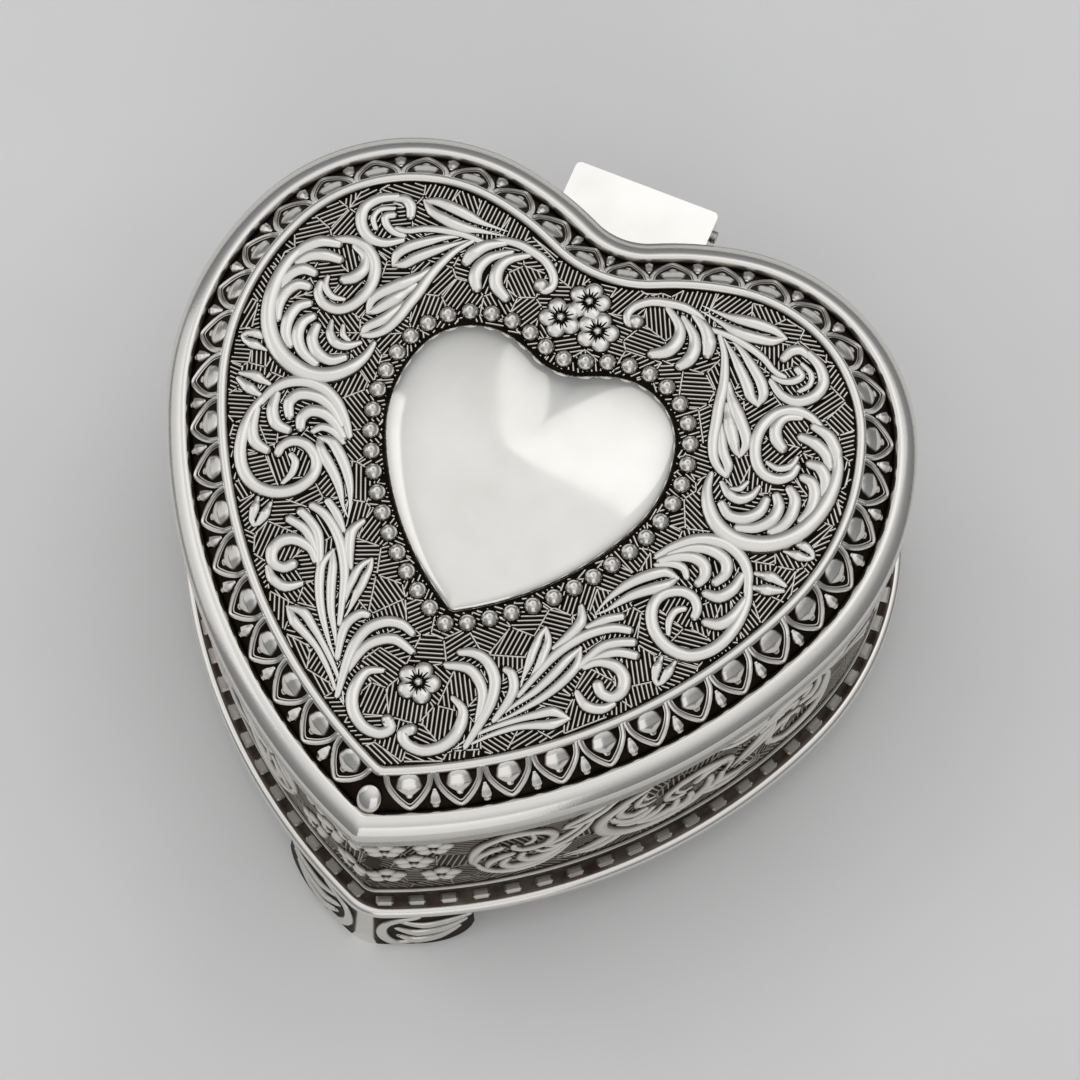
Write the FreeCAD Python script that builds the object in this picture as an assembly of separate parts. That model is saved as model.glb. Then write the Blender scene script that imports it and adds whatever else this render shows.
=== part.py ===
# Heart-shaped keepsake box of cast metal, with a hinged lid and velvet linings.
# Millimetres. +Z is up, the heart's tip points to -Y and its hinge is at +Y.
# The origin is on the ground, under the middle of the whole box.
import FreeCAD, Part
import math
import os
from FreeCAD import Vector

# Heart outline along the crest of the lid's rim: arcs from the cleft round one lobe to the tip.
# Each heading is the direction, in degrees from +X, in which an arc ends.
cleft_radius = 11.8
cleft_heading = 25.7
crown_radius = 45.5
crown_heading = 9.8
shoulder_radius = 27.4
shoulder_heading = -68.8
flank_radius = 42.2
flank_heading = -112.0
side_radius = 83.2

# Lid: skirt, sloping polished band, rim crest, rising border, bead line and flat field
lid_outset = 2.2
lid_edge_width = 2.6
skirt_height = 4.8
band_rise = 1.1
crest_width = 0.5
groove_inset = 1.2
groove_depth = 0.7
bead_inset = 5.8
bead_width = 1.5
bead_height = 0.7
field_rise = 2.6
lid_thickness = 1.7
lid_cavity_upright = 2.6
lid_tip_radius = 1.6

# Plaque: domed heart on the field of the lid
plaque_cleft_radius = 8.4
plaque_cleft_heading = 26.4
plaque_crown_radius = 18.8
plaque_crown_heading = 13.5
plaque_shoulder_radius = 9.6
plaque_shoulder_heading = -72.3
plaque_flank_radius = 19.2
plaque_flank_heading = -114.2
plaque_side_radius = 43.6
plaque_cleft_distance = 21.2
plaque_height = 3.2
plaque_tip_radius = 1.2
plaque_edge_reach = 8.4
dome_steps = 6
flat_top_angle = 84.0

# Relief on the lid: scrollwork, flowers, a ring of beads round the plaque and a border of tongues
relief_height = 0.8
relief_sink = 0.6
scroll_reach = 50.0
scroll_middle_distance = 44.7
flower_radius = 2.2
plaque_bead_radius = 1.0
plaque_bead_outset = 2.2
plaque_bead_tip_radius = 2.6
plaque_bead_count = 46
tongue_radius = 1.0
tongue_inset = 3.7
tongues_per_half = 21
tongue_end_share = 0.25

# Crescents of the scrollwork's left half: start, outer bow, end and inner bow of each, and then its
# round bosses and the flowers, all in shares of scroll_reach from the middle of the field
crescent_shares = [
    # Curl and lobes beside the cleft, and the leaf over them
    [(-0.332, 0.744), (-0.232, 0.794), (-0.108, 0.696), (-0.228, 0.758)],
    [(-0.218, 0.746), (-0.286, 0.680), (-0.220, 0.618), (-0.254, 0.680)],
    [(-0.270, 0.738), (-0.338, 0.672), (-0.304, 0.612), (-0.308, 0.668)],
    [(-0.540, 0.800), (-0.424, 0.824), (-0.308, 0.796), (-0.424, 0.760)],
    # Small scroll, its stem, and the three leaves below it
    [(-0.604, 0.784), (-0.698, 0.712), (-0.630, 0.634), (-0.668, 0.710)],
    [(-0.568, 0.690), (-0.464, 0.744), (-0.356, 0.748), (-0.460, 0.724)],
    [(-0.544, 0.586), (-0.492, 0.678), (-0.416, 0.700), (-0.454, 0.652)],
    [(-0.384, 0.712), (-0.426, 0.532), (-0.532, 0.368), (-0.464, 0.540)],
    [(-0.468, 0.588), (-0.538, 0.520), (-0.554, 0.428), (-0.504, 0.500)],
    # Great scroll: spine, ring and feathers
    [(-0.792, 0.544), (-0.838, 0.392), (-0.732, 0.220), (-0.802, 0.388)],
    [(-0.712, 0.206), (-0.560, 0.200), (-0.498, 0.346), (-0.578, 0.238)],
    [(-0.740, 0.582), (-0.620, 0.618), (-0.574, 0.500), (-0.634, 0.584)],
    [(-0.578, 0.478), (-0.608, 0.400), (-0.706, 0.448), (-0.624, 0.430)],
    [(-0.688, 0.546), (-0.748, 0.544), (-0.784, 0.500), (-0.740, 0.516)],
    [(-0.734, 0.484), (-0.772, 0.482), (-0.784, 0.444), (-0.760, 0.456)],
    [(-0.732, 0.440), (-0.780, 0.416), (-0.772, 0.336), (-0.754, 0.400)],
    [(-0.710, 0.394), (-0.752, 0.320), (-0.714, 0.252), (-0.728, 0.320)],
    [(-0.686, 0.362), (-0.716, 0.296), (-0.640, 0.238), (-0.684, 0.304)],
    [(-0.664, 0.340), (-0.658, 0.278), (-0.578, 0.260), (-0.634, 0.298)],
    # Second scroll: spine, curl, fan, lobes and leaf
    [(-0.712, 0.088), (-0.742, -0.038), (-0.648, -0.166), (-0.708, -0.036)],
    [(-0.628, -0.170), (-0.512, -0.134), (-0.494, -0.036), (-0.544, -0.118)],
    [(-0.508, -0.022), (-0.554, 0.020), (-0.614, -0.032), (-0.554, -0.012)],
    [(-0.700, 0.120), (-0.596, 0.164), (-0.456, 0.076), (-0.588, 0.136)],
    [(-0.492, 0.072), (-0.572, 0.108), (-0.612, 0.060), (-0.560, 0.080)],
    [(-0.504, 0.026), (-0.424, 0.000), (-0.362, -0.146), (-0.452, -0.046)],
    [(-0.692, 0.024), (-0.684, -0.046), (-0.636, -0.058), (-0.664, -0.024)],
    [(-0.680, 0.104), (-0.672, 0.040), (-0.620, 0.024), (-0.648, 0.058)],
    # Spray of leaves with its stem, frond and curl
    [(-0.408, -0.444), (-0.272, -0.500), (-0.208, -0.592), (-0.292, -0.540)],
    [(-0.368, -0.272), (-0.348, -0.400), (-0.260, -0.492), (-0.314, -0.392)],
    [(-0.464, -0.152), (-0.320, -0.244), (-0.278, -0.396), (-0.344, -0.258)],
    [(-0.255, -0.232), (-0.268, -0.312), (-0.250, -0.376), (-0.238, -0.312)],
    [(-0.384, -0.300), (-0.408, -0.220), (-0.486, -0.186), (-0.432, -0.234)],
    [(-0.432, -0.268), (-0.522, -0.300), (-0.456, -0.352), (-0.490, -0.304)],
    [(-0.496, -0.374), (-0.448, -0.408), (-0.400, -0.368), (-0.446, -0.380)],
    # Arches and curl at the tip
    [(-0.192, -0.560), (-0.198, -0.438), (-0.072, -0.378), (-0.172, -0.448)],
    [(-0.164, -0.532), (-0.146, -0.456), (-0.056, -0.436), (-0.128, -0.472)],
    [(-0.232, -0.484), (-0.252, -0.428), (-0.204, -0.378), (-0.230, -0.432)],
    [(-0.104, -0.508), (-0.164, -0.604), (-0.048, -0.684), (-0.132, -0.596)],
]
boss_radius_share = 0.022
boss_shares = [(-0.600, 0.712), (-0.632, 0.512), (-0.590, 0.332), (-0.142, 0.686), (-0.036, -0.634)]
flower_shares = [(0.000, 0.692), (-0.055, 0.602), (0.055, 0.602), (0.000, -0.505)]

# Wall of the box, with the lip that finds the lid
wall_outset = 0.4
wall_thickness = 2.0
wall_height = 28.5
wall_tip_radius = 3.0
lip_height = 1.8
lip_clearance = 0.35
lid_gap = 0.1

# Base moulding: thin flange, hollow curve up to the wall, ledge for the base plate
flange_outset = 3.2
flange_thickness = 1.4
flange_edge = 0.35
flange_tip_radius = 7.0
hollow_rise = 3.6
hollow_steps = 5
ledge_width = 2.9
ledge_depth = 1.0
plate_recess_width = 0.4
base_plate_thickness = 1.2
plate_clearance = 0.1
boss_radius = 3.2

# Feet: one under the tip and one under each lobe
foot_height = 10.0
foot_setback = 0.4
foot_splay = 1.5
foot_thickness = 3.4
foot_half_width = 12.5
foot_toe_half_width = 7.0
foot_wing_height = 2.2
foot_bulge_share = 0.75
foot_block_reach = 14.0
foot_lobe_heading = -35.0
tab_half_width = 3.4
tab_thickness = 2.4
screw_inset = 8.4
screw_radius = 1.2
screw_clearance = 0.05
screw_depth = 2.0
screw_head_radius = 2.2
screw_head_height = 1.4
screw_slot_width = 0.6
screw_slot_depth = 0.6

# Linings: velvet over card
lining_gap = 0.15
lining_thickness = 1.2
lining_drop = 0.5
card_thickness = 1.2
pad_thickness = 2.5
pad_edge = 0.9
lid_card_inset = 6.4
lid_card_thickness = 1.0
lid_pad_thickness = 2.0
lid_pad_edge = 0.8

# Hinge: lid leaf with two knuckles under a flat plate, body leaf with the middle knuckle
hinge_width = 21.6
hinge_setback = 2.3
hinge_drop = 1.2
knuckle_radius = 2.1
middle_knuckle_width = 8.4
knuckle_gap = 0.2
pin_radius = 0.9
pin_clearance = 0.05
pin_overhang = 0.5
hinge_plate_gap = 0.3
hinge_plate_thickness = 1.2
plate_corner_radius = 0.8
lid_pad_block_depth = 5.1
body_block_height = 7.8
body_block_depth = 5.5
leaf_gap = 0.2
solder_gap = 0.05
rivet_spacing = 14.4
lid_rivet_radius = 0.6
body_rivet_radius = 0.8
rivet_clearance = 0.03
rivet_end_cover = 0.8

# One overrun serves all cuts
overrun = 2.0

UP = Vector(0, 0, 1)


class HeartLine:
    """Heart outline of tangent arcs, mirrored about the Y axis, that can be inset or outset."""

    def __init__(self, radii, headings, cleft_y):
        self.radii = radii
        self.headings = [math.radians(heading) for heading in headings]
        self.cleft_centre = Vector(0, cleft_y + radii[0], 0)
        self.centres = []
        joint = self.cleft_centre - self.left(self.headings[0]) * radii[0]
        for index, radius in enumerate(radii[1:]):
            centre = joint - self.left(self.headings[index]) * radius
            self.centres.append(centre)
            if index + 1 < len(self.headings):
                joint = centre + self.left(self.headings[index + 1]) * radius

    @staticmethod
    def left(heading):
        """Unit vector to the left of a heading, which is the outline's outward normal."""
        return Vector(-math.sin(heading), math.cos(heading), 0)

    def on_arc(self, index, heading, inset):
        """Point of one convex arc where the outline has this heading."""
        return self.centres[index] + self.left(heading) * (self.radii[index + 1] - inset)

    def cleft_point(self, heading, inset):
        """Point of the concave arc in the cleft."""
        return self.cleft_centre - self.left(heading) * (self.radii[0] + inset)

    def tip_centre(self, inset, tip_radius):
        """Centre of the arc that rounds the tip."""
        centre = self.centres[-1]
        reach = self.radii[-1] - inset - tip_radius
        return Vector(0, centre.y - math.sqrt(reach ** 2 - centre.x ** 2), 0)

    def tip_y(self, inset, tip_radius):
        """Front end of the outline."""
        return self.tip_centre(inset, tip_radius).y - tip_radius

    def rear_y(self, inset):
        """Rear end of the outline, at the top of a lobe."""
        index = 1 if self.headings[1] > 0 else 0
        return self.on_arc(index, 0, inset).y

    def lobe_point(self, heading, inset):
        """Point of the shoulder arc with this heading."""
        return self.on_arc(1, heading, inset)

    def wire(self, inset, tip_radius, height):
        """Closed wire of the outline at one height."""
        round_centre = self.tip_centre(inset, tip_radius)
        to_tip = round_centre - self.centres[-1]
        tip_heading = math.atan2(to_tip.y, to_tip.x) - math.pi / 2
        limits = self.headings + [tip_heading]
        spans = []
        for index in range(len(self.centres)):
            start = limits[index]
            end = limits[index + 1]
            middle = (start + end) / 2
            spans.append([self.on_arc(index, angle, inset) for angle in (start, middle, end)])
        mirrored = []
        for span in reversed(spans):
            mirrored.append([Vector(-point.x, point.y, 0) for point in reversed(span)])
        tip_point = Vector(0, round_centre.y - tip_radius, 0)
        cleft = [mirrored[-1][2], self.cleft_point(0, inset), spans[0][0]]
        tip = [spans[-1][2], tip_point, mirrored[0][0]]
        lift = UP * height
        edges = []
        for first, middle, last in [cleft] + spans + [tip] + mirrored:
            edges.append(Part.Arc(first + lift, middle + lift, last + lift).toShape())
        return Part.Wire(edges)

    def prism(self, inset, tip_radius, bottom, top):
        """Upright solid inside the outline."""
        return Part.Face(self.wire(inset, tip_radius, bottom)).extrude(UP * (top - bottom))

    def stack(self, levels):
        """Solid through a list of (inset, tip radius, height) levels."""
        wires = [self.wire(inset, tip_radius, height) for inset, tip_radius, height in levels]
        return Part.makeLoft(wires, True, True)


def walk(wire, distance):
    """Point of a heart wire at a length from its cleft, mirrored where the length is negative."""
    edges = wire.OrderedEdges
    left = abs(distance) + edges[0].Length / 2
    for edge in edges:
        if left <= edge.Length:
            point = edge.valueAt(edge.getParameterByLength(left))
            return Vector(math.copysign(1, distance) * point.x, point.y, point.z)
        left -= edge.Length
    raise ValueError("the wire is shorter than the distance")


def box_between(low, high):
    """Box between two opposite corners."""
    size = high - low
    return Part.makeBox(size.x, size.y, size.z, low)


def merged(shape):
    """Solid of a boolean result, with the seams between its flush faces removed."""
    return shape.removeSplitter().Solids[0]


# Heights, from the ground up
flange_top = foot_height + flange_thickness
wall_foot = flange_top + hollow_rise
card_seat = wall_foot - ledge_depth
wall_top = wall_foot + wall_height
lid_foot = wall_top + lid_gap
band_foot = lid_foot + skirt_height
rim_top = band_foot + band_rise
groove_bottom = rim_top - groove_depth
field = rim_top + field_rise
ceiling = field - lid_thickness
plate_top = foot_height + base_plate_thickness

# Insets from the rim's crest line
wall_inner = wall_thickness - wall_outset
lid_inner = lid_edge_width - lid_outset
lip_outer = lid_inner + lip_clearance
recess_inset = wall_inner + plate_recess_width
ledge_inset = wall_inner + ledge_width
lining_outer = wall_inner + lining_gap
lining_inner = lining_outer + lining_thickness
foot_outset = flange_outset - foot_setback

# The outline is made once about its own cleft and then moved, to centre the whole box on the origin
rim_radii = [cleft_radius, crown_radius, shoulder_radius, flank_radius, side_radius]
rim_headings = [cleft_heading, crown_heading, shoulder_heading, flank_heading]
trial = HeartLine(rim_radii, rim_headings, 0)
front_end = trial.tip_y(-(foot_outset + foot_splay), flange_tip_radius)
rear_end = trial.rear_y(-lid_outset) + hinge_setback + knuckle_radius
cleft_y = -(front_end + rear_end) / 2
heart = HeartLine(rim_radii, rim_headings, cleft_y)

plaque_radii = [
    plaque_cleft_radius,
    plaque_crown_radius,
    plaque_shoulder_radius,
    plaque_flank_radius,
    plaque_side_radius,
]
plaque_headings = [
    plaque_cleft_heading,
    plaque_crown_heading,
    plaque_shoulder_heading,
    plaque_flank_heading,
]
plaque_heart = HeartLine(plaque_radii, plaque_headings, cleft_y - plaque_cleft_distance)

hinge_y = heart.rear_y(-lid_outset) + hinge_setback
hinge_z = wall_top - hinge_drop
hinge_side = hinge_width / 2
hinge_rear = hinge_y + knuckle_radius
hinge_plate_bottom = hinge_z + knuckle_radius + hinge_plate_gap
hinge_plate_top = hinge_plate_bottom + hinge_plate_thickness
cleft_face = cleft_y + lid_outset
lid_block_bottom = lid_foot + leaf_gap
lid_rivet_z = (lid_block_bottom + hinge_plate_top) / 2
body_block_top = wall_top - leaf_gap
body_block_bottom = body_block_top - body_block_height
body_rivet_z = (body_block_bottom + body_block_top) / 2
lid_block_rear = cleft_face + lid_pad_block_depth
body_block_rear = cleft_y + wall_outset + body_block_depth


def foot_frames():
    """Name, outline point and outward direction of each foot."""
    heading = math.radians(foot_lobe_heading)
    lobe = heart.lobe_point(heading, -flange_outset)
    outward = heart.left(heading)
    tip = Vector(0, heart.tip_y(-flange_outset, flange_tip_radius), 0)
    return [
        ("foot_front", tip, Vector(0, -1, 0)),
        ("foot_right", lobe, outward),
        ("foot_left", Vector(-lobe.x, lobe.y, 0), Vector(-outward.x, outward.y, 0)),
    ]


def screw_point(frame):
    """Place of a foot's screw on the ground plan."""
    name, point, outward = frame
    return point - outward * screw_inset


def foot_block():
    """Side view of a foot, cut out of a block that reaches through the foot's band."""
    wing = foot_height - foot_wing_height
    spread = foot_half_width - foot_toe_half_width
    bulge_x = foot_toe_half_width + spread * foot_bulge_share
    bulge_z = wing * (1 - foot_bulge_share)
    back = -foot_block_reach

    def point(x, z):
        return Vector(x, back, z)

    right = Part.Arc(point(foot_half_width, wing), point(bulge_x, bulge_z), point(foot_toe_half_width, 0))
    left = Part.Arc(point(-foot_toe_half_width, 0), point(-bulge_x, bulge_z), point(-foot_half_width, wing))
    edges = [
        Part.makeLine(point(-foot_half_width, foot_height), point(foot_half_width, foot_height)),
        Part.makeLine(point(foot_half_width, foot_height), point(foot_half_width, wing)),
        right.toShape(),
        Part.makeLine(point(foot_toe_half_width, 0), point(-foot_toe_half_width, 0)),
        left.toShape(),
        Part.makeLine(point(-foot_half_width, wing), point(-foot_half_width, foot_height)),
    ]
    reach = foot_block_reach + foot_splay + foot_thickness
    return Part.Face(Part.Wire(edges)).extrude(Vector(0, reach, 0))


def foot_tab():
    """Tab that runs inwards from the foot to its screw, on the foot's own axes."""
    bottom = foot_height - tab_thickness
    low = Vector(-tab_half_width, -screw_inset, bottom)
    high = Vector(tab_half_width, -foot_setback - foot_thickness / 2, foot_height)
    end = Part.makeCylinder(tab_half_width, tab_thickness, Vector(0, -screw_inset, bottom))
    return box_between(low, high).fuse(end)


def set_at_foot(shape, frame):
    """Turn and move a shape from a foot's own axes to its place."""
    name, point, outward = frame
    placed = shape.copy()
    turn = math.degrees(math.atan2(-outward.x, outward.y))
    placed.rotate(Vector(0, 0, 0), UP, turn)
    placed.translate(point)
    return placed


def make_feet():
    """Cast feet: a splayed band under the flange, cut to the side view, with a screw tab."""
    inner_outset = foot_outset - foot_thickness
    outer = heart.stack([
        (-foot_outset - foot_splay, flange_tip_radius, 0),
        (-foot_outset, flange_tip_radius, foot_height),
    ])
    inner = heart.stack([
        (-inner_outset - foot_splay, flange_tip_radius, 0),
        (-inner_outset, flange_tip_radius, foot_height),
    ])
    band = outer.cut(inner)
    hole = Part.makeCylinder(screw_radius + screw_clearance, foot_height, Vector(0, -screw_inset, 0))
    feet = {}
    for frame in foot_frames():
        leaf = band.common(set_at_foot(foot_block(), frame))
        body = leaf.fuse(set_at_foot(foot_tab(), frame))
        feet[frame[0]] = merged(body.cut(set_at_foot(hole, frame)))
    return feet


def make_foot_screws():
    """Slotted pan-head screws, up through each foot and the base plate into a boss."""
    head_top = foot_height - tab_thickness
    head_bottom = head_top - screw_head_height
    shank_top = plate_top + screw_depth
    slot_low = Vector(-screw_head_radius - overrun, -screw_slot_width / 2, head_bottom - overrun)
    slot_high = Vector(screw_head_radius + overrun, screw_slot_width / 2, head_bottom + screw_slot_depth)
    slot = box_between(slot_low, slot_high)
    head = Part.makeCylinder(screw_head_radius, screw_head_height, Vector(0, 0, head_bottom))
    shank = Part.makeCylinder(screw_radius, shank_top - head_top, Vector(0, 0, head_top))
    screw = merged(head.fuse(shank).cut(slot))
    screws = []
    for frame in foot_frames():
        placed = screw.copy()
        placed.translate(screw_point(frame))
        screws.append(placed)
    return Part.Compound(screws)


def make_base_plate():
    """Flat sheet in the recess of the base moulding, with the screws' holes."""
    plate = heart.prism(recess_inset + plate_clearance, wall_tip_radius, foot_height, plate_top)
    for frame in foot_frames():
        start = screw_point(frame)
        start.z = foot_height - overrun
        length = base_plate_thickness + 2 * overrun
        plate = plate.cut(Part.makeCylinder(screw_radius + screw_clearance, length, start))
    return merged(plate)


def make_base_moulding():
    """Ring with a thin flange, a hollow curve up to the wall, an inner ledge and screw bosses."""
    levels = [
        (flange_edge - flange_outset, flange_tip_radius, foot_height),
        (-flange_outset, flange_tip_radius, foot_height + flange_edge),
        (-flange_outset, flange_tip_radius, flange_top - flange_edge),
        (flange_edge - flange_outset, flange_tip_radius, flange_top),
    ]
    run = flange_outset - flange_edge - wall_outset
    for step in range(1, hollow_steps + 1):
        angle = math.pi / 2 * step / hollow_steps
        part_in = math.sin(angle)
        tip_radius = flange_tip_radius + (wall_tip_radius - flange_tip_radius) * part_in
        inset = flange_edge - flange_outset + run * part_in
        levels.append((inset, tip_radius, flange_top + hollow_rise * (1 - math.cos(angle))))
    ring = heart.stack(levels)
    ring = ring.cut(heart.prism(recess_inset, wall_tip_radius, foot_height - overrun, plate_top))
    ring = ring.cut(heart.prism(ledge_inset, wall_tip_radius, foot_height, wall_foot))
    ring = ring.cut(heart.prism(wall_inner, wall_tip_radius, card_seat, wall_foot + overrun))
    hole_depth = screw_depth + screw_clearance
    for frame in foot_frames():
        start = screw_point(frame)
        start.z = plate_top
        ring = ring.fuse(Part.makeCylinder(boss_radius, card_seat - plate_top, start))
        ring = ring.cut(Part.makeCylinder(screw_radius + screw_clearance, hole_depth, start))
    return merged(ring)


def rivet_rods(radius, height, rear):
    """Two rods along Y, from inside the box to the rear end of a hinge rivet."""
    front = cleft_y - body_block_depth
    rods = []
    for side in (-1, 1):
        start = Vector(side * rivet_spacing / 2, front, height)
        rods.append(Part.makeCylinder(radius, rear - front, start, Vector(0, 1, 0)))
    return rods


def make_rivets(radius, height, rear, inner_inset, tip_radius):
    """Hinge rivets, flush with the inner face of the wall that they go through."""
    inside = heart.prism(inner_inset, tip_radius, height - overrun, height + overrun)
    return Part.Compound([merged(rod.cut(inside)) for rod in rivet_rods(radius, height, rear)])


def drill(shape, radius, height, rear):
    """Cut the clearance holes of two hinge rivets."""
    for rod in rivet_rods(radius + rivet_clearance, height, rear):
        shape = shape.cut(rod)
    return shape


def make_box_wall():
    """Upright heart-shaped wall, with a thin lip on top that finds the lid."""
    wall = heart.prism(-wall_outset, wall_tip_radius, wall_foot, wall_top)
    wall = wall.fuse(heart.prism(lip_outer, wall_tip_radius, wall_foot, wall_top + lip_height))
    inner_top = wall_top + lip_height + overrun
    wall = wall.cut(heart.prism(wall_inner, wall_tip_radius, wall_foot - overrun, inner_top))
    return merged(drill(wall, body_rivet_radius, body_rivet_z, body_block_rear - rivet_end_cover))


def field_point(place, side):
    """Point just under the field of the lid, on the left half or mirrored to the right."""
    x_share, y_share = place
    middle = cleft_y - scroll_middle_distance
    return Vector(side * x_share * scroll_reach, middle + y_share * scroll_reach, field - relief_sink)


def crescent(places, side):
    """Raised crescent of the scrollwork between two bows."""
    start, outer, end, inner = [field_point(place, side) for place in places]
    if side < 0:
        outer, inner = inner, outer
    bows = [Part.Arc(start, outer, end).toShape(), Part.Arc(end, inner, start).toShape()]
    return Part.Face(Part.Wire(bows)).extrude(UP * (relief_sink + relief_height))


def boss(place, side, radius):
    """Low round boss on the field, cut off where it would come through the lid."""
    foot = field_point(place, side)
    ball_radius = (radius ** 2 + relief_height ** 2) / (2 * relief_height)
    top = Vector(foot.x, foot.y, field + relief_height)
    ball = Part.makeSphere(ball_radius, top - UP * ball_radius)
    size = Vector(ball_radius, ball_radius, relief_sink + relief_height)
    keep = box_between(foot - Vector(size.x, size.y, 0), foot + size)
    return ball.common(keep)


def plaque_beads():
    """Round beads in a ring about the plaque, one of them at its cleft and one at its tip."""
    ring = plaque_heart.wire(-plaque_bead_outset, plaque_bead_tip_radius, field)
    half = plaque_bead_count // 2
    pitch = ring.Length / plaque_bead_count
    places = [walk(ring, pitch * count) for count in range(half)]
    places += [walk(ring, -pitch * count) for count in range(1, half)]
    places.append(Vector(0, plaque_heart.tip_y(-plaque_bead_outset, plaque_bead_tip_radius), field))
    return [Part.makeSphere(plaque_bead_radius, place) for place in places]


def border_tongues():
    """Round tongues on the rising border, the same number on each half."""
    foot_inset = bead_inset - bead_width / 2
    slope_share = (tongue_inset - groove_inset) / (foot_inset - groove_inset)
    height = groove_bottom + (field - groove_bottom) * slope_share
    ring = heart.wire(tongue_inset, lid_tip_radius, height)
    pitch = ring.Length / 2 / (tongues_per_half + tongue_end_share)
    places = []
    for count in range(tongues_per_half):
        for side in (-1, 1):
            places.append(walk(ring, side * pitch * (count + 1 / 2)))
    return [Part.makeSphere(tongue_radius, place) for place in places]


def lid_relief():
    """All the raised ornament of the lid."""
    raised = plaque_beads() + border_tongues()
    for side in (-1, 1):
        raised += [crescent(places, side) for places in crescent_shares]
        raised += [boss(place, side, boss_radius_share * scroll_reach) for place in boss_shares]
    return raised + [boss(place, 1, flower_radius) for place in flower_shares]


def make_lid_shell():
    """Cast lid: skirt, sloping band, rim, rising border, half-round bead line and field with its relief."""
    bead_half = bead_width / 2
    slant = math.sqrt(0.5)
    profile = [
        (-lid_outset, lid_foot),
        (-lid_outset, band_foot),
        (0, rim_top),
        (crest_width, rim_top),
        (groove_inset, groove_bottom),
        (bead_inset - bead_half, field),
        (bead_inset - bead_half * slant, field + bead_height * slant),
        (bead_inset, field + bead_height),
        (bead_inset + bead_half * slant, field + bead_height * slant),
        (bead_inset + bead_half, field),
    ]
    lid = heart.stack([(inset, lid_tip_radius, height) for inset, height in profile])
    cavity = heart.stack([
        (lid_inner, lid_tip_radius, lid_foot - overrun),
        (lid_inner, lid_tip_radius, lid_foot + lid_cavity_upright),
        (bead_inset, lid_tip_radius, ceiling),
    ])
    shell = drill(lid.cut(cavity), lid_rivet_radius, lid_rivet_z, lid_block_rear - rivet_end_cover)
    return merged(shell.fuse(lid_relief()))


def make_plaque():
    """Domed heart: outlines that draw in as they rise along a rounded profile."""
    levels = [(0, plaque_tip_radius, field)]
    limit = math.radians(flat_top_angle)
    for step in range(1, dome_steps + 1):
        angle = limit * step / dome_steps
        inset = plaque_edge_reach * (1 - math.cos(angle)) / (1 - math.cos(limit))
        rise = plaque_height * math.sin(angle) / math.sin(limit)
        levels.append((inset, plaque_tip_radius, field + rise))
    return plaque_heart.stack(levels)


def make_pad(inset, edge, base, rise):
    """Velvet pad on a card: a little drawn in at the card and crowned away from it."""
    return heart.stack([
        (inset + edge / 2, wall_tip_radius, base),
        (inset, wall_tip_radius, base + rise / 2),
        (inset + edge, wall_tip_radius, base + rise),
    ])


def make_wall_lining():
    """Velvet strip that stands on the floor card, round the inside of the wall."""
    bottom = card_seat + card_thickness
    top = wall_top - lining_drop
    outer = heart.prism(lining_outer, wall_tip_radius, bottom, top)
    return merged(outer.cut(heart.prism(lining_inner, wall_tip_radius, bottom - overrun, top + overrun)))


def knuckle(low_x, high_x, radius):
    """Cylinder about the hinge axis."""
    return Part.makeCylinder(radius, high_x - low_x, Vector(low_x, hinge_y, hinge_z), Vector(1, 0, 0))


def pin_hole():
    """Running hole for the hinge pin, through all the knuckles."""
    return knuckle(-hinge_side - overrun, hinge_side + overrun, pin_radius + pin_clearance)


def make_hinge_lid_leaf():
    """Flat plate over the hinge with a knuckle at each end, seated on the lid's skirt in the cleft."""
    side = hinge_side
    inner = middle_knuckle_width / 2 + knuckle_gap
    front = cleft_y
    plate = box_between(Vector(-side, front, hinge_plate_bottom), Vector(side, hinge_rear, hinge_plate_top))
    block = box_between(Vector(-side, front, lid_block_bottom), Vector(side, lid_block_rear, hinge_plate_top))
    leaf = plate.fuse(block)
    for low_x, high_x in ((-side, -inner), (inner, side)):
        low = Vector(low_x, hinge_y - knuckle_radius, hinge_z)
        high = Vector(high_x, hinge_rear, hinge_plate_top)
        leaf = leaf.fuse(box_between(low, high)).fuse(knuckle(low_x, high_x, knuckle_radius))
    seat = heart.prism(-lid_outset - solder_gap, lid_tip_radius, hinge_z - knuckle_radius, rim_top)
    leaf = merged(leaf.cut(seat).cut(pin_hole()))
    corners = [edge for edge in leaf.Edges if is_rear_corner(edge)]
    leaf = leaf.makeFillet(plate_corner_radius, corners)
    return merged(drill(leaf, lid_rivet_radius, lid_rivet_z, lid_block_rear - rivet_end_cover))


def is_rear_corner(edge):
    """True for the upright edges at the rear ends of the hinge plate."""
    ends = edge.BoundBox
    tolerance = solder_gap / 2
    upright = ends.XLength < tolerance and ends.YLength < tolerance
    at_rear = abs(ends.YMax - hinge_rear) < tolerance
    at_side = abs(abs(ends.XMax) - hinge_side) < tolerance
    return upright and at_rear and at_side and ends.ZMax > hinge_plate_bottom


def make_hinge_body_leaf():
    """Bracket that fills the cleft below the lid, with an arm to the middle knuckle."""
    half = middle_knuckle_width / 2
    low = Vector(-hinge_side, cleft_y - body_block_depth, body_block_bottom)
    high = Vector(hinge_side, body_block_rear, body_block_top)
    arm_low = Vector(-half, body_block_rear - body_block_depth, hinge_z - knuckle_radius)
    arm = box_between(arm_low, Vector(half, hinge_y, hinge_z))
    leaf = box_between(low, high).fuse(arm).fuse(knuckle(-half, half, knuckle_radius))
    seat_bottom = body_block_bottom - overrun
    seat = heart.prism(-wall_outset - solder_gap, wall_tip_radius, seat_bottom, wall_top + overrun)
    leaf = leaf.cut(seat).cut(pin_hole())
    return merged(drill(leaf, body_rivet_radius, body_rivet_z, body_block_rear - rivet_end_cover))


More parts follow.
